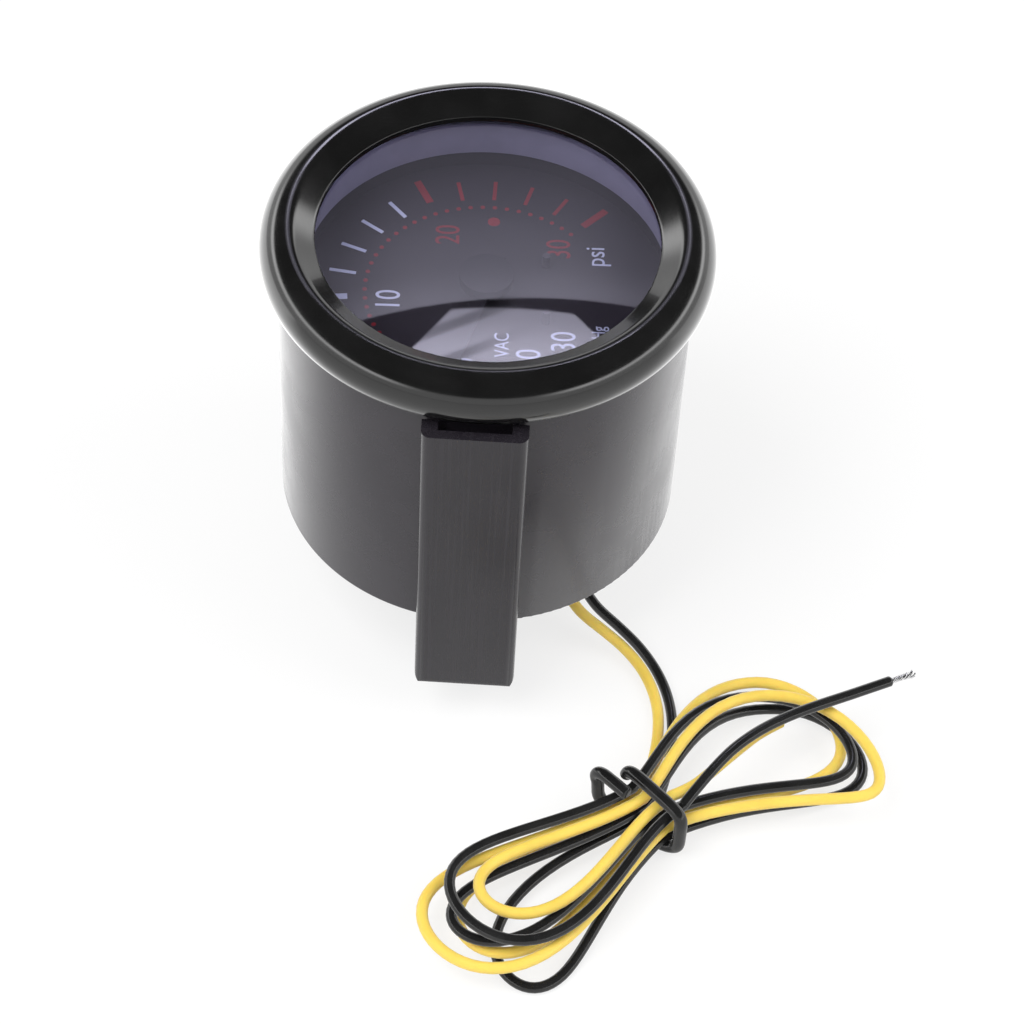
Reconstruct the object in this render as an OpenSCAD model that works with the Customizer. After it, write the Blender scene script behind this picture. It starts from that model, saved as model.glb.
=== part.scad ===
// Boost gauge with a clamp bracket and two loose leads. Millimetres, +Z out of the dial.
// The part stands on its two thumb nuts, and the origin lies under the middle of the gauge.

/* [Stand and bracket] */
// Height of a thumb nut
nut_h = 5.4; // [4:0.2:7]
// Diameter over a thumb nut's knurl
nut_d = 10; // [8:0.5:12]
// Thickness of a lock washer
washer_t = 0.8; // [0.5:0.1:1.5]
// Diameter of a lock washer
washer_d = 7.8; // [7:0.2:9]
// Thickness of the bracket's bridge
bridge_t = 3; // [2:0.5:4]
// Space between the bridge and the back of the can
bridge_gap = 6.8; // [5:0.2:10]
// Width of a bracket leg
leg_w = 12.9; // [11:0.1:15]
// Thickness of a bracket leg
leg_t = 3; // [2.4:0.1:4]
// Gap between a leg and the can
leg_gap = 0.25; // [0.1:0.05:0.5]
// Gap between a leg's end and the bezel
leg_top_gap = 0.6; // [0.3:0.1:1]
// Thickness of the web that closes a leg's channel
web_t = 1.35; // [1:0.05:1.8]
// Width of the flange on each side of a leg's channel
leg_flange_w = 2; // [1.5:0.1:3]
// Radius of a leg's long outer edges
leg_edge_r = 1.2; // [0.5:0.1:1.4]
// Radius of the bracket's bottom corners, seen from the front
leg_corner_r = 2.1; // [1:0.1:3]
// Radius of the bend from a leg to the bridge
leg_bend_r = 1.6; // [0.8:0.1:2.4]
// Diameter of the bridge's middle hole, for a hose
eye_d = 13; // [12:0.5:14]
// Width of the wall round the middle hole
eye_wall = 3; // [2:0.5:4]
// Distance between the two studs
stud_pitch = 32; // [30:0.5:36]
// Diameter of a stud
stud_d = 4; // [3:0.5:5]
// Distance from the floor to a stud's end
stud_end_z = 1.2; // [0.5:0.1:3]

/* [Case] */
// Outside diameter of the can
case_d = 52; // [51.5:0.1:52.5]
// Thickness of the can's wall
case_wall = 0.8; // [0.6:0.1:0.9]
// Thickness of the can's back
back_t = 0.9; // [0.7:0.1:1.2]
// Space between the upper movement plate and the lamp board
board_gap = 2.3; // [1.8:0.1:6]
// Radius of the can's back edge
case_edge_r = 0.5; // [0.2:0.1:0.6]
// Overhang of the can's flange
flange_over = 1; // [0.6:0.1:1.1]
// Thickness of the can's flange
flange_t = 0.8; // [0.6:0.1:1]

/* [Front] */
// Overhang of the bezel past the can's flange, at its widest
bezel_over = 1.35; // [1.2:0.05:2]
// Width of the slope between the bezel's crest and its opening
slope_w = 3.05; // [2.5:0.05:4.5]
// Radius of the bezel's round outer side
bezel_round_r = 3.9; // [3.6:0.1:4.1]
// Rise of the bezel's crest above the edge of its opening
ridge_h = 2; // [1.5:0.1:2.5]
// Thickness of the bezel's lip over the lens, and of its turned-in foot
bezel_lip_t = 0.8; // [0.6:0.1:1]
// Thickness of the lens
lens_t = 1.8; // [1.2:0.1:2.4]
// Thickness of the gasket under the lens
gasket_t = 0.6; // [0.4:0.1:1]
// Height of the pale reflector ring under the lens
reflector_h = 5; // [4:0.1:5.5]
// Width of the reflector ring
reflector_w = 2.1; // [1.6:0.1:3]
// Height of the ring that clamps the dial
clamp_ring_h = 2.4; // [2:0.1:3]
// Width of the clamp ring
clamp_ring_w = 1.8; // [1.4:0.1:2.4]

/* [Dial and lighting] */
// Thickness of the dial
dial_t = 1; // [0.6:0.1:1.4]
// Thickness of the light guide under the dial
guide_t = 2; // [1.5:0.1:2.5]
// Height of the light guide's foot ring
guide_foot_h = 1.8; // [1.6:0.1:2.4]
// Width of the light guide's foot ring
guide_foot_w = 2.2; // [1.5:0.1:2.6]
// Thickness of the lamp board
board_t = 1.2; // [0.8:0.1:1.6]
// Number of lamps
led_count = 8; // [6:1:10]
// Distance of the lamps from the middle
led_ring_r = 16.5; // [14:0.5:17]
// Length of a lamp
led_l = 3.2; // [2:0.2:4]
// Width of a lamp
led_w = 1.6; // [1:0.1:2]
// Height of a lamp
led_h = 1.2; // [0.8:0.1:1.4]
// Wall of the inner cup
cup_wall = 0.8; // [0.6:0.1:1.2]
// Thickness of the shelf at the cup's top
shelf_t = 1.6; // [1:0.1:2]
// Width of the shelf at the cup's top
shelf_w = 6.5; // [5:0.5:7]
// Number of screws that hold the lamp board
board_screw_count = 3; // [2:1:4]
// Gap between the can's bore and what slips into it
slip_gap = 0.2; // [0.05:0.05:0.3]

/* [Scale and pointer] */
// Turn of the dial's upright from -X
dial_turn = 2.2; // [-5:0.1:5]
// Angle from the upright to each end of the scale
scale_half_sweep = 135; // [120:1:140]
// Angle that the scale takes from zero to full boost
boost_sweep = 210; // [180:1:220]
// Length of the pointer, from its axis to its tip
pointer_l = 17.4; // [14:0.2:19]
// Length of the pointer's tail
pointer_tail_l = 5; // [3:0.5:7]
// Width of the pointer at its hub
pointer_w = 2.2; // [1.5:0.1:3]
// Width of the pointer at its tip
pointer_tip_w = 0.7; // [0.4:0.1:1.2]
// Thickness of the pointer
pointer_t = 0.6; // [0.4:0.1:0.8]
// Gap between the dial and the pointer's hub
pointer_gap = 0.9; // [0.5:0.1:1.2]
// Diameter of the pointer's hub
hub_d = 5.2; // [4:0.2:7]
// Height of the pointer's hub
hub_h = 1.2; // [1:0.1:1.5]
// Diameter of the cap on the pointer
cap_d = 6.8; // [5:0.2:8]
// Height of the cap on the pointer
cap_h = 1.8; // [1:0.1:2.2]
// Diameter of a stop pin on the dial
stop_d = 1; // [0.6:0.1:1.4]
// Height of a stop pin
stop_h = 1.9; // [1.8:0.1:2.4]
// Distance of a stop pin from the pointer's axis
stop_r = 9; // [7:0.5:11]

/* [Movement] */
// Height of the movement's base, from the can's back to the lower plate
base_h = 13.6; // [12:0.2:14]
// Diameter of the base's flange
base_flange_d = 17; // [16:0.5:18]
// Thickness of the base's flange
base_flange_t = 2.5; // [2:0.1:3.5]
// Diameter of the base's column
column_d = 13; // [12:0.5:15]
// Width of the base's arm
arm_w = 7; // [5:0.5:8]
// Thickness of the base's arm
arm_t = 4; // [3:0.5:5]
// Half the angle that the tube's root post takes up
post_half_angle = 11; // [9:0.5:13]
// Wall of the root post and of the tip block, either side of the tube
post_wall = 0.9; // [0.6:0.1:1.1]
// Space for the inner leads, between the tube's root post and the inner cup
lead_channel_w = 3.8; // [3.4:0.1:4]
// Width of the pressure tube, across its flat section
tube_w = 1.8; // [1.4:0.1:2]
// Height of the pressure tube's section
tube_h = 5; // [4:0.1:5.4]
// Wall of the pressure tube
tube_wall = 0.3; // [0.2:0.05:0.4]
// Angle of the pressure tube's curl
tube_sweep = 255; // [240:1:258]
// Angle that the block on the tube's tip takes up
tip_angle = 8; // [6:0.5:12]
// Gap between the pressure tube and the movement plates
tube_gap = 1.5; // [1.2:0.1:1.8]
// Thickness of each movement plate
plate_t = 1.2; // [0.8:0.1:1.6]
// Space between the two movement plates
pillar_h = 8.8; // [8.6:0.1:9.4]
// Diameter of a pillar
pillar_d = 3.6; // [3:0.1:4]
// Width of the plates' rim outside the pillars and the sector's arbor
plate_rim = 1.5; // [1.3:0.1:1.7]
// Teeth on the pinion
pinion_teeth = 14; // [12:1:16]
// Turns of the pinion for one whole turn of the sector
gear_ratio = 7; // [6:1:8]
// Play between the teeth, along the pitch circle
gear_backlash = 0.05; // [0.03:0.01:0.08]
// Height of the pinion
pinion_h = 1.8; // [1.4:0.1:2.2]
// Thickness of the sector gear
sector_t = 1; // [0.8:0.1:1.2]
// Length of the sector's tail, from its pivot to its pin
tail_l = 4.5; // [4:0.1:5]
// Width of the sector's tail
tail_w = 2; // [1.6:0.1:2.4]
// Diameter of the sector's arbor
arbor_d = 1.4; // [1:0.1:1.6]
// Diameter of the spindle
spindle_d = 1.6; // [1.2:0.1:2]
// Diameter of the link's two pins
link_pin_d = 1; // [0.8:0.1:1.2]
// Width of the link
link_w = 1.8; // [1.6:0.1:2.4]
// Thickness of the link
link_t = 0.8; // [0.6:0.1:1]
// Turns of the hairspring
spring_turns = 4; // [3:1:5]
// Distance between the hairspring's turns
spring_pitch = 0.9; // [0.7:0.05:1]
// Thickness of the hairspring's strip
spring_strip_t = 0.15; // [0.1:0.01:0.2]
// Height of the hairspring's strip
spring_strip_h = 0.6; // [0.4:0.1:0.8]
// Diameter of the hairspring's collet
collet_d = 3.2; // [2.8:0.1:3.6]
// Height of the hairspring's collet
collet_h = 1.2; // [1:0.1:1.6]
// Diameter of the stud at the hairspring's outer end
spring_stud_d = 1.2; // [0.8:0.1:1.6]
// Diameter of a small screw's thread
screw_d = 1.6; // [1.2:0.1:2]
// Diameter of a small screw's head
screw_head_d = 3; // [2.6:0.1:3.2]
// Height of a small screw's head
screw_head_h = 0.8; // [0.6:0.1:1]
// Depth of a small screw's thread in what it holds
screw_depth = 3; // [2:0.5:4]

/* [Hose nipple] */
// Diameter of the nipple's hose end
nipple_d = 4.8; // [4:0.1:6]
// Distance from the floor to the nipple's end
nipple_end_z = 2.4; // [2:0.1:4]
// Length of the nipple's plain tip
nipple_tip_l = 2.5; // [2:0.1:3]
// Depth of the grooves between the nipple's barbs
barb_depth = 0.45; // [0.3:0.05:0.6]
// Length of one barb
barb_l = 1.9; // [1.5:0.1:2]
// Bore of the nipple
nipple_bore_d = 2; // [1.5:0.1:2.4]
// Thread diameter where the nipple passes the back
nipple_thread_d = 7; // [6:0.5:8]
// Length of the nipple's thread above the back
nipple_thread_l = 4; // [3:0.5:6]
// Width across the flats of the nipple's hexagon
hex_af = 11; // [10:0.5:12]
// Height of the nipple's hexagon
hex_h = 3; // [2:0.1:3.4]
// Diameter of the washer under the hexagon
seal_d = 13; // [12.6:0.1:14]
// Thickness of the washer under the hexagon
seal_t = 0.8; // [0.5:0.1:1.2]

/* [Leads] */
// Diameter of the yellow lead
yellow_d = 1.5; // [1.3:0.1:1.6]
// Diameter of the black lead
black_d = 1.4; // [1.2:0.1:1.6]
// Distance between the leads in the grommet
lead_pitch = 2.2; // [2:0.1:2.4]
// Diameter of the grommet's lips
grommet_d = 7; // [6:0.2:8]
// Diameter of the grommet's neck, in the can's back
grommet_neck_d = 5.4; // [5:0.1:5.8]
// Thickness of each grommet lip
grommet_lip_t = 1; // [0.8:0.1:1.4]
// Diameter of the tie round the hank's waist
tie_d = 1.7; // [1.4:0.1:2]
// Length of the bared wire at a lead's end
strands_l = 3.6; // [3:0.1:5]
// Diameter of the bared wire at a lead's end
strands_d = 1; // [0.8:0.1:1.2]

/* [Hidden] */
$fn = 96;
// Overrun of a cut past the face that it opens
over = 1;
// Running clearance between a shaft or stud and its hole, on the radius
run_gap = 0.05;
// Gap between pieces that move past each other
pass_gap = 0.3;

case_r = case_d / 2;
case_bore_r = case_r - case_wall;
bridge_z = nut_h + washer_t;
bridge_top_z = bridge_z + bridge_t;
case_z = bridge_top_z + bridge_gap;
back_top_z = case_z + back_t;
plate_z = back_top_z + base_h;
pillar_z = plate_z + plate_t;
top_plate_z = pillar_z + pillar_h;
top_plate_top_z = top_plate_z + plate_t;
board_z = top_plate_top_z + board_gap;
board_top_z = board_z + board_t;
guide_z = board_top_z + guide_foot_h;
dial_z = guide_z + guide_t;
dial_top_z = dial_z + dial_t;
reflector_z = dial_top_z + clamp_ring_h;
gasket_top_z = reflector_z + reflector_h;
flange_z = gasket_top_z - gasket_t;
case_depth = flange_z - case_z;
flange_r = case_r + flange_over;
lens_top_z = gasket_top_z + lens_t;
edge_z = lens_top_z + bezel_lip_t;
ridge_z = edge_z + ridge_h;
bezel_z = flange_z - flange_t - bezel_lip_t;
bezel_r = flange_r + bezel_over;
round_x = bezel_r - bezel_round_r;
opening_r = round_x - slope_w;
// Gap on the radius round what the bezel holds
bezel_play = 0.1;
lens_r = flange_r - 0.4 * flange_over;

inner_r = case_bore_r - slip_gap;

tube_z = plate_z + plate_t - slip_gap;
tube_top_z = tube_z + tube_h;
sector_z = tube_top_z + 0.5 * sector_t;
link_z = sector_z + sector_t + pass_gap;
pinion_z = sector_z - (pinion_h - sector_t) / 2;
post_out_r = inner_r - cup_wall - lead_channel_w;
tube_r = post_out_r - post_wall - tube_w / 2;
plate_d = 2 * (tube_r - tube_w / 2 - tube_gap);
pillar_ring_r = plate_d / 2 - plate_rim - pillar_d / 2;
gear_distance = plate_d / 2 - plate_rim - arbor_d / 2;
post_in_r = tube_r - tube_w / 2 - post_wall;
tube_start = 180 + post_half_angle;
tip_start = tube_start + tube_sweep;
tip_middle = tip_start + tip_angle / 2;

// Teeth that a whole wheel of the sector's size would have
sector_teeth = gear_ratio * pinion_teeth;
// Size of the teeth, as pitch diameter over number of teeth
gear_module = 2 * gear_distance / (pinion_teeth + sector_teeth);
pinion_pitch_r = gear_module * pinion_teeth / 2;
sector_pitch_r = gear_module * sector_teeth / 2;
// Pressure angle of the teeth
tooth_pressure = 25;
// Height of a tooth above and below the pitch circle, in modules
addendum_share = 0.9;
dedendum_share = 1.2;
// Direction from the spindle to the sector's pivot
pivot_angle = 126;
pivot_x = gear_distance * cos(pivot_angle);
pivot_y = gear_distance * sin(pivot_angle);
tail_x = pivot_x + tail_l;
tip_x = tube_r * cos(tip_middle);
tip_y = tube_r * sin(tip_middle);
// First and last tooth of the sector, counted from the one in mesh at rest
spare_teeth = 2;
spoke_inset = 6;
first_tooth = -ceil(boost_sweep / 360 * pinion_teeth) - spare_teeth;
last_tooth = ceil((2 * scale_half_sweep - boost_sweep) / 360 * pinion_teeth) + spare_teeth;

dial_up = 180 + dial_turn;
zero_angle = dial_up - scale_half_sweep + boost_sweep;
high_angle = dial_up - scale_half_sweep;
low_angle = dial_up + scale_half_sweep;
hub_z = dial_top_z + pointer_gap;
stop_angle = atan((pointer_w / 2 + stop_d / 2 + pass_gap) / stop_r);

grommet_x = 11.5;
grommet_y = -7;
lead_exit_z = case_z - grommet_lip_t;
inner_lead_r = (post_out_r + inner_r - cup_wall) / 2;

stud_head_h = stud_d / 3;
knurl_count = 24;
knurl_r = nut_d / 28;
knurl_bevel = nut_d / 20;
lead_hole_r = max(yellow_d, black_d) / 2 + run_gap;
pressure_bore_r = 0.4 * nipple_bore_d;
pillar_angles = [40, 220, 300];
base_screw_angles = [30, 210];
base_screw_r = column_d / 2 - screw_head_d / 2 - pass_gap;
collet_z = pillar_z + screw_head_h + 2 * pass_gap;
spring_in_r = collet_d / 2 + run_gap;

// Hank of the two leads: its waist, the direction of its right side, and how the loops widen
waist = [24.5, -46, 0];
waist_turn = 45;
right_widening = 1.3;
left_widening = 1.5;
// Distances of the leads from the waist's middle, and their heights there, inner and lower first
tracks = [1.03, 3.1];
layers = [2.6, 4.65, 6.7];
// Loops in turn: side (0 left, 1 right), tilt, reach, width, first and last track, first layer, height
// at the far end, and last layer
yellow_loops = [
    [0, -2, 29, 9, 1, 0, 0, 2.4, 0],
    [1, -7, 30, 15.5, 0, 1, 0, 2.4, 1],
    [0, -6, 33.5, 12, 1, 1, 1, 4.5, 1],
    [1, -24, 30.5, 15.5, 1, 0, 1, 5.9, 2],
    [0, -7, 25.5, 8, 0, 0, 2, 6.5, 2]];
black_loops = [
    [0, 9, 28.5, 8.4, 0, 1, 0, 0.7, 0],
    [1, -13, 31, 14, 1, 0, 0, 0.7, 1],
    [0, -6, 30, 8.2, 0, 0, 1, 4.5, 1],
    [1, -19, 29, 13, 0, 1, 1, 4.15, 2],
    [0, -7, 29, 11.6, 1, 1, 2, 6.5, 2]];
// Shares of a loop at which its climb starts, and that it takes, to the far end and back to the waist
climb_out_shares = [0.08, 0.25];
climb_back_shares = [0.68, 0.24];
loop_rings = 20;
measured_rings = 40;
tie_rings = 30;
// Gap between the tie and the leads that it holds
tie_play = 0.34;
// Angle at which the tie starts, and through which it goes round
tie_start = 165;
tie_turn = 430;
// Shares of the tie's length at which its end bulges out and comes back in, and that each takes
bulge_shares = [0.72, 0.12];
tuck_shares = [0.93, 0.07];
bulge_share = 0.5;
// Shares of the tie's diameter by which its start leans to one side and its end to the other
lean_shares = [0.4, 1.7];
lean_length_shares = [0.45, 0.35];
// Routes of the stretches that aren't wound, from the grommet to the waist and from the waist to the end
yellow_lead_route = [[10.4, -7, 15], [10.4, -7, 13.4], [11, -8.6, 10.8], [12.4, -12.1, 7.9],
    [14.6, -14.4, 5.6], [17.4, -15.6, 3.7], [20.4, -17.1, 2.1], [22.9, -19.5, 1.2],
    [24.7, -22.8, 0.8], [25.7, -27, 0.8], [25.7, -31.6, 0.8], [25.1, -35.8, 1.1],
    [24.6, -39.4, 1.9]];
black_lead_route = [[12.6, -7, 15], [12.6, -7, 13.4], [13.2, -8.4, 10.9], [14.7, -11.7, 8.2],
    [16.9, -13.9, 6], [19.6, -15.3, 4.2], [22.5, -17.2, 2.6], [24.9, -19.8, 1.4],
    [26.6, -23.2, 0.8], [27.5, -27.4, 0.8], [27.6, -32, 0.8], [27.1, -36.4, 1], [26.3, -40.3, 1.7]];
yellow_tail_route = [[30.3, -42.6, 6.6], [34.2, -38.4, 6.6], [38.2, -34, 6.3], [41.5, -31.4, 6.1]];
black_tail_route = [[31, -43.3, 8.1], [34.6, -38.5, 8.5], [38.7, -34.6, 8.5], [43.8, -31.2, 8.3],
    [50.1, -27.8, 7.9], [55.7, -24.6, 7.3]];
function inner_lead_angle(s) = atan2(grommet_y, grommet_x) + s * asin(lead_pitch / 2 / inner_lead_r);

// Flat shapes
module rounded_rect(w, l, r) {
    square([w - 2 * r, l], center = true);
    square([w, l - 2 * r], center = true);
    for (x = [-1, 1], y = [-1, 1])
        translate([x * (w / 2 - r), y * (l / 2 - r)]) circle(r);
}

module ring(z, h, r_in, r_out) {
    translate([0, 0, z]) difference() {
        cylinder(h = h, r = r_out);
        translate([0, 0, -over]) cylinder(h = h + 2 * over, r = r_in);
    }
}

module disc(z, h, r) {
    translate([0, 0, z]) cylinder(h = h, r = r);
}

module hole(z, h, r) {
    translate([0, 0, z - over]) cylinder(h = h + 2 * over, r = r);
}

module at_polar(r, angle) {
    translate([r * cos(angle), r * sin(angle), 0]) children();
}

// Case and front
module case_body() {
    color([0.07, 0.07, 0.075]) difference() {
        rotate_extrude() {
            translate([0, case_z]) difference() {
                union() {
                    square([case_r - case_edge_r, case_depth]);
                    translate([0, case_edge_r]) square([case_r, case_depth - case_edge_r]);
                    translate([case_r - case_edge_r, case_edge_r]) circle(case_edge_r);
                    translate([0, case_depth - flange_t]) square([flange_r, flange_t]);
                }
                translate([0, back_t]) square([case_bore_r, case_depth]);
                translate([-over, -over]) square([over, case_depth + 2 * over]);
            }
        }
        hole(case_z, back_t, nipple_thread_d / 2);
        for (y = [-1, 1]) translate([0, y * stud_pitch / 2, 0]) hole(case_z, back_t, stud_d / 2);
        translate([grommet_x, grommet_y, 0]) hole(case_z, back_t, grommet_neck_d / 2);
    }
}

module bezel() {
    round_z = ridge_z - bezel_round_r;
    color([0.03, 0.03, 0.033]) rotate_extrude() difference() {
        intersection() {
            translate([opening_r, bezel_z]) square([bezel_r - opening_r, ridge_z - bezel_z]);
            union() {
                translate([round_x, round_z]) circle(bezel_round_r);
                translate([opening_r - over, bezel_z]) square([slope_w + over, ridge_z - bezel_z]);
            }
        }
        polygon([[round_x - 2 * slope_w, ridge_z - 2 * ridge_h], [round_x, ridge_z],
            [round_x - 2 * slope_w, ridge_z + over]]);
        translate([0, bezel_z + bezel_lip_t])
            square([flange_r + bezel_play, lens_top_z - bezel_z - bezel_lip_t]);
        translate([0, bezel_z - over]) square([case_r + bezel_play, lens_top_z - bezel_z]);
    }
}

module lens() {
    color([0.16, 0.14, 0.2, 0.4]) disc(gasket_top_z, lens_t, lens_r);
}

module lens_gasket() {
    color([0.05, 0.05, 0.05]) ring(flange_z, gasket_t, case_bore_r + slip_gap, lens_r);
}

module reflector_ring() {
    color([0.45, 0.43, 0.52]) ring(reflector_z, reflector_h, inner_r - reflector_w, inner_r);
}

module dial_clamp_ring() {
    color([0.06, 0.06, 0.07]) ring(dial_top_z, clamp_ring_h, inner_r - clamp_ring_w, inner_r);
}

// Dial and lighting
module dial() {
    color([0.1, 0.09, 0.1]) difference() {
        disc(dial_z, dial_t, inner_r);
        hole(dial_z, dial_t, spindle_d / 2 + pass_gap);
        for (a = [high_angle - stop_angle, low_angle + stop_angle])
            at_polar(stop_r, a) hole(dial_z, dial_t, stop_d / 2);
    }
}

module light_guide() {
    color([0.85, 0.86, 0.88]) {
        ring(guide_z, guide_t, spindle_d, inner_r);
        ring(board_top_z, guide_foot_h, inner_r - guide_foot_w, inner_r);
    }
}

module lamp_board() {
    color([0.1, 0.3, 0.15]) difference() {
        ring(board_z, board_t, 2 * spindle_d, inner_r);
        for (k = [0 : board_screw_count - 1])
            at_polar(board_screw_r(), board_screw_angle(k)) hole(board_z, board_t, screw_d / 2);
    }
}

function board_screw_r() = inner_r - guide_foot_w - screw_head_d / 2 - slip_gap;
function board_screw_angle(k) = 30 + 360 * k / board_screw_count;

module lamps() {
    color([0.95, 0.93, 0.85]) for (k = [0 : led_count - 1])
        rotate([0, 0, 360 * (k + 0.5) / led_count])
            translate([led_ring_r - led_l / 2, -led_w / 2, board_top_z]) cube([led_l, led_w, led_h]);
}

module screw(z, depth) {
    disc(z, screw_head_h, screw_head_d / 2);
    disc(z - depth, depth, screw_d / 2);
}

module board_screws() {
    color([0.7, 0.7, 0.72]) for (k = [0 : board_screw_count - 1])
        at_polar(board_screw_r(), board_screw_angle(k)) screw(board_top_z, board_t + shelf_t);
}

module inner_cup() {
    color([0.88, 0.88, 0.86]) difference() {
        union() {
            ring(back_top_z, board_z - back_top_z, inner_r - cup_wall, inner_r);
            ring(board_z - shelf_t, shelf_t, inner_r - shelf_w, inner_r);
        }
        for (k = [0 : board_screw_count - 1])
            at_polar(board_screw_r(), board_screw_angle(k)) hole(board_z - shelf_t, shelf_t, screw_d / 2);
        for (s = [-1, 1])
            at_polar(inner_lead_r, inner_lead_angle(s)) hole(board_z - shelf_t, shelf_t, lead_hole_r);
    }
}

// Movement
module arc_block(z, h, r_in, r_out, start, sweep) {
    rotate([0, 0, start]) rotate_extrude(angle = sweep) translate([r_in, z]) square([r_out - r_in, h]);
}

module movement_base() {
    bore_z = plate_z - arm_t / 2;
    color([0.75, 0.6, 0.3]) difference() {
        union() {
            disc(back_top_z, base_flange_t, base_flange_d / 2);
            disc(back_top_z, base_h, column_d / 2);
            translate([-post_in_r - post_wall, -arm_w / 2, plate_z - arm_t]) cube([post_in_r + post_wall, arm_w, arm_t]);
            arc_block(plate_z - arm_t, link_z - pass_gap - plate_z + arm_t, post_in_r, post_out_r,
                180 - post_half_angle, 2 * post_half_angle);
        }
        hole(back_top_z, nipple_thread_l - over, nipple_thread_d / 2);
        disc(back_top_z, bore_z - back_top_z, nipple_bore_d / 2);
        translate([0, 0, bore_z]) rotate([0, -90, 0]) cylinder(h = tube_r, r = pressure_bore_r);
        translate([-tube_r, 0, bore_z]) cylinder(h = tube_z + tube_h / 2 - bore_z, r = pressure_bore_r);
        translate([-tube_r, 0, tube_z + tube_h / 2]) rotate([90, 0, 0])
            cylinder(h = tube_r * sin(post_half_angle) + over, r = tube_w / 2 - tube_wall);
        for (a = base_screw_angles) at_polar(base_screw_r, a)
            hole(plate_z - screw_depth + over, screw_depth, screw_d / 2);
    }
}

module movement_plate(z, post_holes) {
    difference() {
        disc(z, plate_t, plate_d / 2);
        hole(z, plate_t, spindle_d / 2 + run_gap);
        translate([pivot_x, pivot_y, 0]) hole(z, plate_t, arbor_d / 2 + run_gap);
        for (a = pillar_angles) at_polar(pillar_ring_r, a) hole(z, plate_t, screw_d / 2);
        for (a = post_holes) at_polar(base_screw_r, a) hole(z, plate_t, screw_d / 2);
    }
}

module lower_plate() {
    color([0.8, 0.66, 0.34]) movement_plate(plate_z, base_screw_angles);
}

module upper_plate() {
    color([0.8, 0.66, 0.34]) movement_plate(top_plate_z, []);
}

module pillars() {
    color([0.8, 0.66, 0.34]) for (a = pillar_angles) at_polar(pillar_ring_r, a) {
        disc(plate_z, plate_t, screw_d / 2);
        difference() {
            disc(pillar_z, pillar_h, pillar_d / 2);
            translate([0, 0, top_plate_z - screw_depth]) cylinder(h = screw_depth + over, r = screw_d / 2);
        }
    }
}

module movement_screws() {
    color([0.7, 0.7, 0.72]) {
        for (a = base_screw_angles) at_polar(base_screw_r, a) screw(pillar_z, plate_t + screw_depth);
        for (a = pillar_angles) at_polar(pillar_ring_r, a) screw(top_plate_top_z, plate_t + screw_depth);
    }
}

module oval(w, h) {
    translate([-w / 2, w / 2]) square([w, h - w]);
    for (y = [w / 2, h - w / 2]) translate([0, y]) circle(w / 2);
}

module pressure_tube() {
    color([0.78, 0.5, 0.3]) rotate([0, 0, tube_start]) rotate_extrude(angle = tube_sweep)
        translate([tube_r, tube_z]) difference() {
            oval(tube_w, tube_h);
            translate([0, tube_wall]) oval(tube_w - 2 * tube_wall, tube_h - 2 * tube_wall);
        }
}

module tube_tip() {
    color([0.75, 0.6, 0.3]) arc_block(tube_z - slip_gap, link_z - pass_gap - tube_z + slip_gap, post_in_r,
        post_out_r, tip_start, tip_angle);
}

module link() {
    dx = tip_x - tail_x;
    dy = tip_y - pivot_y;
    color([0.72, 0.72, 0.74]) translate([tail_x, pivot_y, link_z]) rotate([0, 0, atan2(dy, dx)]) difference() {
        linear_extrude(link_t) {
            translate([0, -link_w / 2]) square([norm([dx, dy]), link_w]);
            for (x = [0, norm([dx, dy])]) translate([x, 0]) circle(link_w / 2);
        }
        hole(0, link_t, link_pin_d / 2 + run_gap);
        translate([norm([dx, dy]), 0, 0]) hole(0, link_t, link_pin_d / 2);
    }
}

module link_pin() {
    color([0.72, 0.72, 0.74]) translate([tip_x, tip_y, 0]) {
        disc(link_z, link_t, link_pin_d / 2);
        disc(link_z + link_t, link_t / 2, link_w / 2);
    }
}

// Angle in degrees between the tooth's flank and its start on the base circle, at a pressure angle
function involute(a) = tan(a) * 180 / PI - a;

// Half the angle that a tooth takes up at radius r
function tooth_half(r, pitch_r, teeth) =
    let (base_r = pitch_r * cos(tooth_pressure), a = r > base_r ? acos(base_r / r) : 0)
    90 / teeth - gear_backlash / (4 * pitch_r) * 180 / PI + involute(tooth_pressure) - involute(a);

// Outline of the teeth numbered in ks, each a rise, a tip and a fall, round the origin
function tooth_points(pitch_r, teeth, ks, turn) =
    let (tip_r = pitch_r + addendum_share * gear_module, root_r = pitch_r - dedendum_share * gear_module, steps = 4)
    [for (k = ks) let (mid = turn + 360 * k / teeth)
        for (j = [-steps : steps]) if (j != 0)
            let (r = tip_r - (tip_r - root_r) * (abs(j) - 1) / (steps - 1),
                a = mid + sign(j) * tooth_half(r, pitch_r, teeth))
            [r * cos(a), r * sin(a)]];

module sector_gear() {
    root_r = sector_pitch_r - dedendum_share * gear_module;
    rim_r = root_r - tail_w;
    facing = pivot_angle + 180;
    start = facing + 360 * (first_tooth - 1) / sector_teeth;
    end = facing + 360 * (last_tooth + 1) / sector_teeth;
    rim = [for (k = [0 : 12]) let (a = end + (start - end) * k / 12) [rim_r * cos(a), rim_r * sin(a)]];
    color([0.8, 0.66, 0.34]) translate([pivot_x, pivot_y, 0]) {
        translate([0, 0, sector_z]) linear_extrude(sector_t) difference() {
            union() {
                polygon(concat(tooth_points(sector_pitch_r, sector_teeth, [first_tooth : last_tooth], facing), rim));
                for (a = [start + spoke_inset, end - spoke_inset]) rotate([0, 0, a])
                    translate([0, -tail_w / 2]) square([rim_r + tail_w / 2, tail_w]);
                translate([0, -tail_w / 2]) square([tail_l, tail_w]);
                translate([tail_l, 0]) circle(tail_w / 2);
                circle(tail_w);
            }
            circle(arbor_d / 2);
        }
        translate([tail_l, 0, sector_z + sector_t])
            cylinder(h = link_t + 2 * pass_gap, r = link_pin_d / 2);
    }
}

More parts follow.
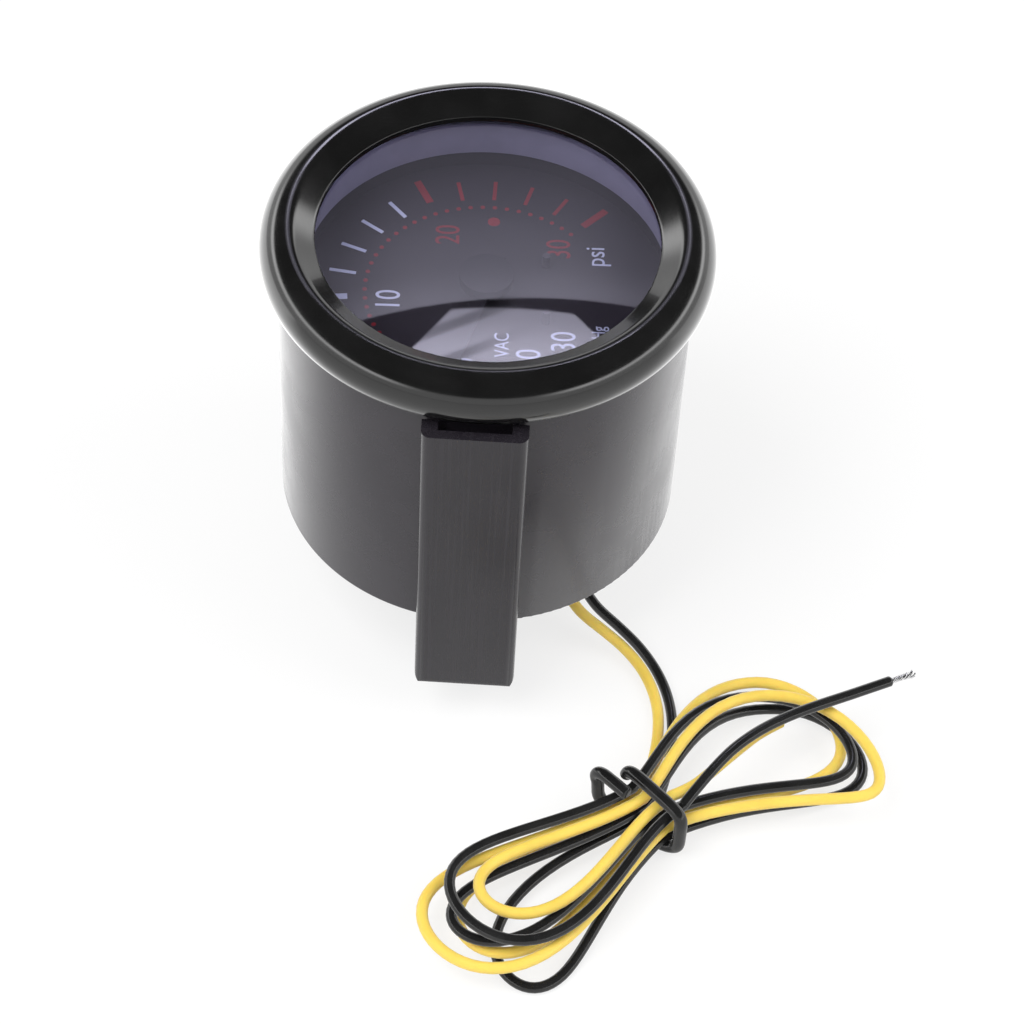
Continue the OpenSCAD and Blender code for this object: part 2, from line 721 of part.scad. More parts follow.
module sector_arbor() {
    color([0.7, 0.7, 0.72]) translate([pivot_x, pivot_y, 0])
        disc(plate_z + pass_gap, top_plate_top_z - plate_z - 2 * pass_gap, arbor_d / 2);
}

module pinion_spindle() {
    gap_angle = pivot_angle + 180 / pinion_teeth;
    color([0.7, 0.7, 0.72]) {
        disc(plate_z + pass_gap, hub_z + hub_h - plate_z - pass_gap, spindle_d / 2);
        translate([0, 0, pinion_z]) linear_extrude(pinion_h)
            polygon(tooth_points(pinion_pitch_r, pinion_teeth, [0 : pinion_teeth - 1], gap_angle));
    }
}

module hairspring_collet() {
    color([0.75, 0.6, 0.3]) ring(collet_z, collet_h, spindle_d / 2, collet_d / 2);
}

module hairspring() {
    steps = 20 * spring_turns;
    edge = function (side) [for (k = [0 : steps])
        let (a = 18 * k, r = spring_in_r + spring_pitch * a / 360 + side * spring_strip_t) [r * cos(a), r * sin(a)]];
    inner = edge(0);
    outer = edge(1);
    color([0.45, 0.5, 0.6]) translate([0, 0, collet_z + (collet_h - spring_strip_h) / 2])
        linear_extrude(spring_strip_h)
            polygon(concat(inner, [for (k = [steps : -1 : 0]) outer[k]]));
}

module hairspring_stud() {
    color([0.75, 0.6, 0.3])
        translate([spring_in_r + spring_pitch * spring_turns + spring_strip_t + spring_stud_d / 2, 0, 0])
            disc(pillar_z, collet_z + collet_h - pillar_z, spring_stud_d / 2);
}

// Pointer
module pointer() {
    color([0.12, 0.12, 0.12]) rotate([0, 0, zero_angle]) translate([0, 0, hub_z]) difference() {
        union() {
            cylinder(h = hub_h, r = hub_d / 2);
            translate([0, 0, (hub_h - pointer_t) / 2]) linear_extrude(pointer_t)
                polygon([[-pointer_tail_l, -pointer_w / 2], [0, -pointer_w / 2], [pointer_l, -pointer_tip_w / 2],
                    [pointer_l, pointer_tip_w / 2], [0, pointer_w / 2], [-pointer_tail_l, pointer_w / 2]]);
        }
        translate([0, 0, -over]) cylinder(h = hub_h + 2 * over, r = spindle_d / 2);
    }
}

module pointer_cap() {
    color([0.04, 0.04, 0.04]) translate([0, 0, hub_z + hub_h]) rotate_extrude() intersection() {
        translate([0, cap_h - cap_dome_r()]) circle(cap_dome_r());
        square([cap_d / 2, cap_h]);
    }
}

// Radius of the cap's dome, which drops a third of the cap's height at its rim
function cap_dome_r() = let (drop = cap_h / 3) ((cap_d / 2) ^ 2 + drop ^ 2) / (2 * drop);

module stop_pins() {
    color([0.1, 0.1, 0.1]) for (a = [high_angle - stop_angle, low_angle + stop_angle])
        at_polar(stop_r, a) disc(dial_z, dial_t + stop_h, stop_d / 2);
}

// Back: nipple, studs, bracket, nuts and grommet
module hose_nipple() {
    seal_z = case_z - seal_t;
    r = nipple_d / 2;
    color([0.78, 0.64, 0.32]) difference() {
        union() {
            disc(seal_z, seal_t + back_t + nipple_thread_l, nipple_thread_d / 2);
            translate([0, 0, seal_z - hex_h]) cylinder(h = hex_h, r = hex_af / 2 / cos(30), $fn = 6);
            rotate_extrude() polygon(concat([[0, nipple_end_z], [r, nipple_end_z], [r, nipple_end_z + nipple_tip_l]],
                [for (k = [0 : barb_count() - 1]) let (z = nipple_end_z + nipple_tip_l + k * barb_l)
                    each [[r - barb_depth, z], [r, z + barb_l]]],
                [[r - barb_depth, nipple_end_z + nipple_tip_l + barb_count() * barb_l],
                    [r - barb_depth, seal_z - hex_h], [0, seal_z - hex_h]]));
        }
        hole(nipple_end_z, seal_z + seal_t + back_t + nipple_thread_l - nipple_end_z, nipple_bore_d / 2);
    }
}

function barb_count() = floor((case_z - seal_t - hex_h - nipple_end_z - nipple_tip_l) / barb_l - 0.5);

module nipple_washer() {
    color([0.3, 0.3, 0.3]) ring(case_z - seal_t, seal_t, nipple_thread_d / 2, seal_d / 2);
}

module mounting_studs() {
    color([0.7, 0.7, 0.72]) for (y = [-1, 1]) translate([0, y * stud_pitch / 2, 0]) {
        disc(stud_end_z, back_top_z - stud_end_z, stud_d / 2);
        disc(back_top_z, stud_head_h, stud_d);
    }
}

module bracket() {
    leg_in = case_r + leg_gap;
    leg_out = leg_in + leg_t;
    leg_top = bezel_z - leg_top_gap;
    height = leg_top - bridge_z;
    color([0.08, 0.08, 0.085]) difference() {
        union() {
            intersection() {
                translate([0, 0, bridge_z]) linear_extrude(height) rounded_rect(leg_w, 2 * leg_out, leg_edge_r);
                side_view(leg_out + over) translate([0, bridge_z + height]) rounded_rect(leg_w, 2 * height, leg_corner_r);
                end_view(leg_w) translate([0, bridge_z + height]) rounded_rect(2 * leg_out, 2 * height, leg_bend_r);
            }
            disc(bridge_z, bridge_t, eye_d / 2 + eye_wall);
        }
        translate([-leg_w, -leg_in, bridge_top_z]) cube([2 * leg_w, 2 * leg_in, height]);
        translate([leg_flange_w - leg_w / 2, -leg_out + web_t, bridge_top_z])
            cube([leg_w - 2 * leg_flange_w, 2 * (leg_out - web_t), height]);
        hole(bridge_z, bridge_t, eye_d / 2);
        for (y = [-1, 1]) translate([0, y * stud_pitch / 2, 0])
            hole(bridge_z, bridge_t, stud_d / 2 + pass_gap);
    }
}

// Stands a flat shape up, so that its second axis is Z and its first is X or Y
module side_view(half) {
    rotate([90, 0, 0]) translate([0, 0, -half]) linear_extrude(2 * half) children();
}

module end_view(half) {
    rotate([90, 0, 90]) translate([0, 0, -half]) linear_extrude(2 * half) children();
}

module lock_washers() {
    color([0.7, 0.7, 0.72]) for (y = [-1, 1]) translate([0, y * stud_pitch / 2, 0])
        ring(nut_h, washer_t, stud_d / 2 + pass_gap, washer_d / 2);
}

module thumb_nut(y) {
    r = nut_d / 2;
    color([0.12, 0.12, 0.12]) translate([0, y, 0]) difference() {
        rotate_extrude() polygon([[stud_d / 2 + run_gap, 0], [r - knurl_bevel, 0], [r, knurl_bevel],
            [r, nut_h - knurl_bevel], [r - knurl_bevel, nut_h], [stud_d / 2 + run_gap, nut_h]]);
        for (k = [0 : knurl_count - 1]) at_polar(r, 360 * k / knurl_count)
            hole(0, nut_h, knurl_r);
    }
}

module thumb_nut_front() {
    thumb_nut(-stud_pitch / 2);
}

module thumb_nut_rear() {
    thumb_nut(stud_pitch / 2);
}

module wire_grommet() {
    color([0.05, 0.05, 0.05]) difference() {
        translate([grommet_x, grommet_y, 0]) {
            disc(lead_exit_z, grommet_lip_t, grommet_d / 2);
            disc(case_z, back_t, grommet_neck_d / 2);
            disc(back_top_z, grommet_lip_t, grommet_d / 2);
        }
        for (s = [-1, 1]) translate([grommet_x + s * lead_pitch / 2, grommet_y, 0])
            hole(lead_exit_z, 2 * grommet_lip_t + back_t, lead_hole_r);
    }
}

// Leads: a round tube along points, made of triangles
function unit(v) = v / norm(v);
function smooth(x) = let (c = min(max(x, 0), 1)) c * c * (3 - 2 * c);

function tangents(path) = let (last = len(path) - 1)
    [for (k = [0 : last]) unit(path[min(k + 1, last)] - path[max(k - 1, 0)])];

// Normals carried along the path without a twist, from the last one found
function carried(along, k, last_normal) = k == len(along) ? [] :
    let (n = unit(last_normal - (last_normal * along[k]) * along[k])) concat([n], carried(along, k + 1, n));

module tube(path, d, sides) {
    along = tangents(path);
    normals = carried(along, 0, cross(along[0], [1, 1, 1]));
    last = len(path) - 1;
    points = [for (k = [0 : last], j = [0 : sides - 1])
        path[k] + d / 2 * (cos(360 * j / sides) * normals[k] + sin(360 * j / sides) * cross(along[k], normals[k]))];
    walls = [for (k = [0 : last - 1], j = [0 : sides - 1])
        let (a = k * sides + j, b = k * sides + (j + 1) % sides) each [[a, a + sides, b + sides], [a, b + sides, b]]];
    ends = [for (j = [1 : sides - 2]) each [[0, j, j + 1], [last * sides, last * sides + j + 1, last * sides + j]]];
    polyhedron(points, concat(walls, ends));
}

// Curve through the route's points, with a point halfway between each two
function curve(route) = let (last = len(route) - 1)
    [for (k = [0 : last]) each k == last ? [route[k]] :
        [route[k], (9 * (route[k] + route[k + 1]) - route[max(k - 1, 0)] - route[min(k + 2, last)]) / 16]];

// Point of a hank's loop. Its reach follows a half sine, and its two runs part by a power of that sine,
// so that they meet the waist side by side. Its tilt grows towards the far end.
function loop_point(row, t) =
    let (s = max(sin(180 * t), 0), c = cos(180 * t), power = row[0] == 1 ? right_widening : left_widening,
        widest = 2 * sqrt(power / (1 + power)) ^ power * sqrt(1 / (1 + power)),
        out = row[2] * s,
        side = tracks[row[5]] * (1 - c) / 2 - tracks[row[4]] * (1 + c) / 2 - row[3] / widest * c * s ^ power,
        a = waist_turn + (row[0] == 1 ? 0 : 180) + row[1] * s ^ 2,
        z = layers[row[6]] + (row[7] - layers[row[6]]) * smooth((t - climb_out_shares[0]) / climb_out_shares[1])
            + (layers[row[8]] - row[7]) * smooth((t - climb_back_shares[0]) / climb_back_shares[1]))
    waist + [out * cos(a) - side * sin(a), out * sin(a) + side * cos(a), z];

function hank_path(loops, rings, d) =
    let (step = d * [cos(waist_turn), sin(waist_turn), 0],
        inside = [for (row = loops, k = [0 : rings - 1]) loop_point(row, k / rings)],
        end = loop_point(loops[len(loops) - 1], 1))
    concat([inside[0] + step], inside, [end, end + step]);

// Least distance between the lead's skin and itself, among points more than a few diameters apart
function least_gap(path, d, apart) = min([for (j = [0 : len(path) - 1 - apart], k = [j + apart : len(path) - 1])
    norm(path[j] - path[k])]) - d;

module hank(loops, d, name) {
    echo(str("least gap of the ", name, " hank to itself: ", least_gap(hank_path(loops, measured_rings, d), d, 10)));
    tube(hank_path(loops, loop_rings, d), d, 6);
}

// From the route's end to the hank, which it meets square
function lead_path(route, loops, d) = let (start = hank_path(loops, 1, d)[0], step = start - loop_point(loops[0], 0))
    concat([route[0]], curve(concat([for (k = [1 : len(route) - 1]) route[k]], [start + step])), [start]);

function tail_path(route, loops, d) = let (end = hank_path(loops, 1, d)[len(loops) + 2],
    step = end - loop_point(loops[len(loops) - 1], 1)) concat([end], curve(concat([end + step], route)));

function strands_path(route) = let (last = len(route) - 1, step = unit(route[last] - route[last - 1]))
    [route[last], route[last] + strands_l * step];

module yellow_inner_lead() {
    color([0.94, 0.82, 0.32]) tube(inner_lead_path(-1), yellow_d, 8);
}

module black_inner_lead() {
    color([0.07, 0.07, 0.07]) tube(inner_lead_path(1), black_d, 8);
}

// From the grommet up beside the inner cup's wall and through its shelf to the lamp board
function inner_lead_path(s) = let (a = inner_lead_angle(s), r = inner_lead_r, x = r * cos(a), y = r * sin(a),
        start_x = grommet_x + s * lead_pitch / 2, rise = board_z - lead_exit_z)
    concat([[start_x, grommet_y, lead_exit_z]], curve([[start_x, grommet_y, lead_exit_z + rise / 6],
        [(start_x + x) / 2, (grommet_y + y) / 2, lead_exit_z + rise / 3], [x, y, lead_exit_z + rise / 2],
        [x, y, board_z - rise / 4]]), [[x, y, board_z]]);

module yellow_lead() {
    color([0.94, 0.82, 0.32]) tube(lead_path(yellow_lead_route, yellow_loops, yellow_d), yellow_d, 8);
}

module yellow_hank() {
    color([0.94, 0.82, 0.32]) hank(yellow_loops, yellow_d, "yellow");
}

module yellow_tail() {
    color([0.94, 0.82, 0.32]) tube(tail_path(yellow_tail_route, yellow_loops, yellow_d), yellow_d, 8);
}

module yellow_strands() {
    color([0.8, 0.8, 0.8]) tube(strands_path(yellow_tail_route), strands_d, 8);
}

module black_lead() {
    color([0.07, 0.07, 0.07]) tube(lead_path(black_lead_route, black_loops, black_d), black_d, 8);
}

module black_hank() {
    color([0.07, 0.07, 0.07]) hank(black_loops, black_d, "black");
}

module black_tail() {
    color([0.07, 0.07, 0.07]) tube(tail_path(black_tail_route, black_loops, black_d), black_d, 8);
}

module black_strands() {
    color([0.8, 0.8, 0.8]) tube(strands_path(black_tail_route), strands_d, 8);
}

// The tie goes once round the waist, tight, and ends in a slack half turn on the left
function tie_point(t) =
    let (a = tie_start - tie_turn * t,
        slack = 1 + bulge_share * smooth((t - bulge_shares[0]) / bulge_shares[1])
            * (1 - smooth((t - tuck_shares[0]) / tuck_shares[1])),
        half_w = tracks[1] + (yellow_d + tie_d) / 2 + tie_play, low = tie_d / 2,
        high = layers[2] + (yellow_d + tie_d) / 2 + tie_play,
        side = half_w * slack * rounded(cos(a)), z = (high + low) / 2 + (high - low) / 2 * rounded(sin(a)),
        out = tie_d * (lean_shares[0] - lean_shares[1] * smooth((t - lean_length_shares[0]) / lean_length_shares[1])))
    waist + [out * cos(waist_turn) + side * sin(waist_turn), out * sin(waist_turn) - side * cos(waist_turn), z];
// Turns a circle into a rounded square
function rounded(x) = sign(x) * abs(x) ^ 0.4;

module wire_tie() {
    color([0.05, 0.05, 0.05]) tube([for (k = [0 : tie_rings]) tie_point(k / tie_rings)], tie_d, 8);
}

case_body();  // case
bezel();
lens();
lens_gasket();
reflector_ring();
dial_clamp_ring();
dial();
light_guide();
lamp_board();
lamps();
board_screws();
inner_cup();
movement_base();
lower_plate();
upper_plate();
pillars();
movement_screws();
pressure_tube();
tube_tip();
link();
link_pin();
sector_gear();
sector_arbor();
pinion_spindle();
hairspring_collet();
hairspring();
hairspring_stud();
pointer();
pointer_cap();
stop_pins();
hose_nipple();
nipple_washer();
mounting_studs();
bracket();
lock_washers();
thumb_nut_front();
thumb_nut_rear();
wire_grommet();
yellow_inner_lead();
black_inner_lead();
yellow_lead();
yellow_hank();
yellow_tail();
yellow_strands();
black_lead();
black_hank();
black_tail();
black_strands();
wire_tie();
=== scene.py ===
"""Dresses the boost gauge: its materials, its printed dial, its two leads and a plain studio."""

from __future__ import annotations

import logging
import math
from dataclasses import dataclass
from enum import Enum
from typing import Callable, Sequence

import bpy
import numpy as np
from mathutils import Matrix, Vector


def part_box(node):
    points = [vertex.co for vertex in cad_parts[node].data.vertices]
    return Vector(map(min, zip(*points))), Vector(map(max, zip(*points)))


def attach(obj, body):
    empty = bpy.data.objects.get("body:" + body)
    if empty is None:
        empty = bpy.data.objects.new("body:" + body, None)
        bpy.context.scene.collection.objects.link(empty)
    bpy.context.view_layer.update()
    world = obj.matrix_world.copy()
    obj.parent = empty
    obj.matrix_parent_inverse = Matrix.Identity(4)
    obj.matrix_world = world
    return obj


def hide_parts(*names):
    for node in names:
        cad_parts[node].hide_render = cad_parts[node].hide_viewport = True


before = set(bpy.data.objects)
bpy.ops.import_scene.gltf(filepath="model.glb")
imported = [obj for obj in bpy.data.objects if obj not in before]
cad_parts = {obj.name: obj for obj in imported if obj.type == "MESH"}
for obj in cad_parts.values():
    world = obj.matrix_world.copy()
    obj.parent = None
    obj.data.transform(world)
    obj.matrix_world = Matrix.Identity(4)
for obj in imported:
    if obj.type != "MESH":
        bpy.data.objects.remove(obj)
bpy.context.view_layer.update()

log = logging.getLogger("boost gauge")
MM = 0.001
Pair = tuple[float, float]
Triple = tuple[float, float, float]
Colour = Triple
Array = np.ndarray
Piece = bpy.types.Object
Node = bpy.types.Node
Socket = bpy.types.NodeSocket
Sockets = dict[str | int, object]


class Body(str, Enum):
    """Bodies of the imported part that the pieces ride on."""

    HOUSING = "housing"
    NEEDLE = "needle"
    CLAMP = "clamp"
    FRONT_NUT = "front_nut"
    REAR_NUT = "rear_nut"


class Side(Enum):
    """Side of the hank's waist on which a loop lies."""

    LEFT = 0
    RIGHT = 1


def smooth(t: Array, start: float, length: float) -> Array:
    """Eases from 0 at the start to 1 a length on: three times the share squared less twice its cube."""
    share = np.clip((t - start) / length, 0.0, 1.0)
    return share * share * (3.0 - 2.0 * share)


def directions(a: Array) -> Array:
    """Flat unit vectors at angles in radians: their cosine and their sine."""
    return np.stack([np.cos(a), np.sin(a)], axis=-1)


def circle(steps: int) -> Array:
    """Angles once round a circle, in radians."""
    return np.linspace(0.0, 2.0 * math.pi, steps, endpoint=False)


def unit(v: Array) -> Array:
    """Divides each vector by its length."""
    return v / np.linalg.norm(v, axis=-1, keepdims=True)


def square_to(along: Array) -> list[Array]:
    """Two axes square to a direction: its cross product with a slanted line, and that one's with it."""
    across = unit(np.cross(along, np.array([1.0, 1.0, 1.0])))
    return [across, np.cross(across, along)]


def operator(operation: str, swapped: bool = False) -> Callable[..., Number]:
    """Writes a method of Number that adds one Math node.

    Args:
        operation: The node's operation.
        swapped: Whether the other number goes in first.

    Returns:
        The method, which takes the node's other numbers and gives its result.
    """

    def method(number: Number, *others: Number | float) -> Number:
        """The node's result for the number and the others."""
        values = (*others, number) if swapped else (number, *others)
        return number.graph.number("ShaderNodeMath", 0, dict(enumerate(values)), operation=operation)

    return method


class Number:
    """A number socket of a node tree on which arithmetic adds Math nodes."""

    def __init__(self, graph: Graph, socket: Socket) -> None:
        """Keeps the socket and the graph that it belongs to."""
        self.graph = graph
        self.socket = socket

    __add__ = __radd__ = operator("ADD")
    __sub__ = operator("SUBTRACT")
    __rsub__ = operator("SUBTRACT", swapped=True)
    __mul__ = operator("MULTIPLY")
    __pow__ = operator("POWER")
    most = operator("MAXIMUM")
    sine = operator("SINE")

    def ease(self, low: float, high: float) -> Number:
        """Maps low to high onto 0 to 1, with soft ends."""
        limits = {"Value": self, "From Min": low, "From Max": high}
        return self.graph.number("ShaderNodeMapRange", "Result", limits, interpolation_type="SMOOTHSTEP")


class Graph:
    """The node tree of a material or a world, and what adds nodes to it."""

    def __init__(self, owner: bpy.types.Material | bpy.types.World) -> None:
        """Gives a material or a world nodes, and empties them."""
        owner.use_nodes = True
        self.tree = owner.node_tree
        self.tree.nodes.clear()

    def add(self, kind: str, sockets: Sockets | None = None, **settings: object) -> Node:
        """Adds one node.

        Args:
            kind: The node's type.
            sockets: Values, colours, numbers or sockets for its inputs, by name or place.
            settings: Its own settings.

        Returns:
            The node.
        """
        node = self.tree.nodes.new(kind)
        for name, value in settings.items():
            setattr(node, name, value)
        for name, value in (sockets or {}).items():
            socket = node.inputs[name]
            if isinstance(value, Number):
                value = value.socket
            if isinstance(value, Socket):
                self.tree.links.new(value, socket)
            else:
                socket.default_value = (*value, 1.0) if socket.type == "RGBA" else value
        return node

    def number(
        self, kind: str, output: str | int, sockets: Sockets | None = None, **settings: object
    ) -> Number:
        """Adds one node and takes one of its outputs, by name or place, as a number."""
        return Number(self, self.add(kind, sockets, **settings).outputs[output])

    def axes(self, vector: Socket | None = None) -> list[Number]:
        """X, Y and Z of a vector, or of the point on the object where none is given."""
        parts = self.add("ShaderNodeSeparateXYZ", {0: self.place() if vector is None else vector})
        return [Number(self, part) for part in parts.outputs]

    def flat_mm(self) -> list[Number]:
        """X and Y of the point on the object, in millimetres."""
        return [axis * (1.0 / MM) for axis in self.axes()[:2]]

    def ray(self, kind: str) -> Number:
        """1 for rays of one kind, such as Camera or Glossy, and 0 for the rest."""
        return self.number("ShaderNodeLightPath", f"Is {kind} Ray")

    def radius(self) -> Number:
        """The distance from the object's Z axis, in metres."""
        x, y, _ = self.axes()
        return (x * x + y * y) ** 0.5

    def place(self, stretch: Triple = (1.0, 1.0, 1.0)) -> Socket:
        """The point on the object, in metres, stretched along each axis.

        Args:
            stretch: Factors along X, Y and Z.

        Returns:
            The vector socket.
        """
        here = self.add("ShaderNodeTexCoord").outputs["Object"]
        if stretch == (1.0, 1.0, 1.0):
            return here
        return self.add("ShaderNodeMapping", {"Vector": here, "Scale": stretch}).outputs[0]

    def noise(self, per_mm: float, detail: float = 2.0, stretch: Triple = (1.0, 1.0, 1.0)) -> Number:
        """A noise from 0 to 1: its blotches in a millimetre, and how much finer detail is laid over them."""
        sockets = {"Vector": self.place(stretch), "Scale": per_mm / MM, "Detail": detail, "Roughness": 0.55}
        return self.number("ShaderNodeTexNoise", 0, sockets)

    def mix(self, share: Number | float, first: Colour, second: Colour) -> Socket:
        """Mixes two colours, of which the second shows by the share."""
        return self.add("ShaderNodeMix", {"Factor": share, 6: first, 7: second}, data_type="RGBA").outputs[2]

    def bump(self, height: Number, depth_mm: float) -> Socket:
        """Turns a height from 0 to 1 into a bumpy normal, where 1 stands so far above 0."""
        return self.add("ShaderNodeBump", {"Height": height, "Distance": depth_mm * MM}).outputs[0]

    def surface(self, **values: object) -> Node:
        """Adds the Principled shader, with its sockets by name and underscores for their spaces."""
        sockets = {name.replace("_", " "): value for name, value in values.items()}
        return self.add("ShaderNodeBsdfPrincipled", sockets)

    def blend(self, share: Number, first: Node, second: Node) -> Node:
        """Mixes two shaders, of which the second shows by the share."""
        return self.add("ShaderNodeMixShader", {0: share, 1: first.outputs[0], 2: second.outputs[0]})

    def show(self, node: Node) -> None:
        """Puts a shader out on the surface."""
        self.add("ShaderNodeOutputMaterial", {"Surface": node.outputs[0]})


@dataclass(frozen=True)
class Finish:
    """What every finish has: a name and the record's material slot."""

    name: str
    slot: str

    def shade(self, graph: Graph) -> Node:
        """Builds the finish's shader."""
        raise NotImplementedError

    @staticmethod
    def lighter(colour: Colour, gain: float, lift: float) -> Colour:
        """A colour whose parts are raised by a factor and a little more, and held to 1."""
        return tuple(min(1.0, part * gain + lift) for part in colour)

    def material(self) -> bpy.types.Material:
        """The finish as a material, made once.

        Returns:
            The material.
        """
        made = bpy.data.materials.get(self.name)
        if not made:
            made = bpy.data.materials.new(self.name)
            graph = Graph(made)
            graph.show(self.shade(graph))
        return made


@dataclass(frozen=True)
class Paint(Finish):
    """Sprayed paint with a faint orange peel, smudges and, if wanted, drawn lines under it, with a painted
    sheen along them.
    """

    colour: Colour
    roughness: float
    coat: float = 0.0
    peel_mm: float = 0.004
    lines_mm: float = 0.0
    line_stretch: Triple = (1.0, 1.0, 0.012)
    dust_and_sheen_weight: float = 0.25

    def shade(self, graph: Graph) -> Node:
        """Builds the paint: blotches vary its colour and gloss, and fine noise gives the peel."""
        blotch = graph.noise(0.12, 3.0).ease(0.3, 0.7)
        dust_and_line_sheen = graph.noise(6.0, 2.0).ease(0.62, 0.8)
        height = graph.noise(2.2, 1.0)
        depth = self.peel_mm
        if self.lines_mm:
            lines = graph.noise(2.4, 2.0, self.line_stretch)
            height = height * (self.peel_mm / self.lines_mm) + lines
            depth = self.lines_mm
            # Painted sheen: along the lines the colour turns lighter, in place of the light that they
            # reflect.
            dust_and_line_sheen = dust_and_line_sheen + lines.ease(0.5, 0.66) * 2.4
        light = self.lighter(self.colour, 1.35, 0.004)
        return graph.surface(
            Base_Color=graph.mix(blotch * 0.5 + dust_and_line_sheen * self.dust_and_sheen_weight, self.colour, light),
            Roughness=blotch * 0.06 + dust_and_line_sheen * 0.06 + (self.roughness - 0.03),
            Coat_Weight=self.coat,
            Coat_Roughness=0.04,
            Normal=graph.bump(height, depth),
        )


@dataclass(frozen=True)
class Moulded(Finish):
    """Moulded plastic or rubber, with a fine grain and slightly uneven gloss."""

    colour: Colour
    roughness: float
    grain_per_mm: float = 5.0
    grain_mm: float = 0.006
    subsurface: float = 0.0
    specular: float = 0.5

    def shade(self, graph: Graph) -> Node:
        """Builds the plastic: grain on the normal, blotches in colour and gloss."""
        blotch = graph.noise(0.25, 3.0).ease(0.3, 0.7)
        grain = graph.noise(self.grain_per_mm, 2.0)
        light = self.lighter(self.colour, 1.12, 0.006)
        return graph.surface(
            Base_Color=graph.mix(blotch * 0.7 + grain * 0.2, self.colour, light),
            Roughness=blotch * 0.08 + grain * 0.04 + (self.roughness - 0.05),
            Specular_IOR_Level=self.specular,
            Subsurface_Weight=self.subsurface,
            Subsurface_Scale=0.0006,
            Normal=graph.bump(grain, self.grain_mm),
        )


@dataclass(frozen=True)
class Metal(Finish):
    """Bare metal with fine tool marks and a little tarnish."""

    colour: Colour
    tarnish: Colour
    roughness: float
    marks: Triple = (1.0, 1.0, 0.08)
    marks_mm: float = 0.004

    def shade(self, graph: Graph) -> Node:
        """Builds the metal: stretched noise gives the tool marks, and blotches the tarnish."""
        marks = graph.noise(4.0, 3.0, self.marks)
        blotch = graph.noise(0.3, 4.0).ease(0.45, 0.75)
        return graph.surface(
            Base_Color=graph.mix(blotch * 0.6 + marks * 0.2, self.colour, self.tarnish),
            Metallic=1.0,
            Roughness=marks * 0.12 + blotch * 0.1 + (self.roughness - 0.06),
            Normal=graph.bump(marks, self.marks_mm),
        )


@dataclass(frozen=True)
class SmokedGlass(Finish):
    """The smoked lens: a tinted see-through sheet that reflects as glass does."""

    tint: Colour
    gloss: float = 1.5

    def shade(self, graph: Graph) -> Node:
        """Mixes a tinted see-through shader with a sharp reflection by Fresnel's law."""
        clear = graph.add("ShaderNodeBsdfTransparent", {"Color": self.tint})
        smudge = graph.noise(0.08, 3.0).ease(0.5, 0.8)
        shine = graph.surface(Base_Color=(1.0, 1.0, 1.0), Metallic=1.0, Roughness=smudge * 0.02 + 0.01)
        mirror = graph.number("ShaderNodeFresnel", 0, {"IOR": self.gloss})
        behind = graph.number("ShaderNodeNewGeometry", "Backfacing")
        return graph.blend(mirror * (1.0 - behind), clear, shine)


@dataclass(frozen=True)
class DialFace(Finish):
    """The dial's dark printed face, a little lighter in the middle."""

    rim: Colour
    middle: Colour

    def shade(self, graph: Graph) -> Node:
        """Builds the print: its colour follows the distance from the dial's middle."""
        out = graph.radius()
        grain = graph.noise(9.0, 2.0)
        return graph.surface(
            Base_Color=graph.mix(out.ease(0.002, 0.019) * 0.9 + grain * 0.1, self.middle, self.rim),
            Roughness=grain * 0.1 + 0.45,
            Normal=graph.bump(grain, 0.003),
        )


@dataclass(frozen=True)
class Board(Finish):
    """The lamp board: green lacquer over copper tracks."""

    lacquer: Colour
    track: Colour
    pitch_mm: float = 2.2

    def shade(self, graph: Graph) -> Node:
        """Builds the lacquer: rings of track show through it, worked out from the radius."""
        tracks = (graph.radius() * (2.0 * math.pi / (self.pitch_mm * MM))).sine().ease(0.1, 0.3)
        return graph.surface(
            Base_Color=graph.mix(tracks, self.lacquer, self.track),
            Roughness=graph.noise(3.0) * 0.1 + 0.3,
            Normal=graph.bump(tracks, 0.03),
        )


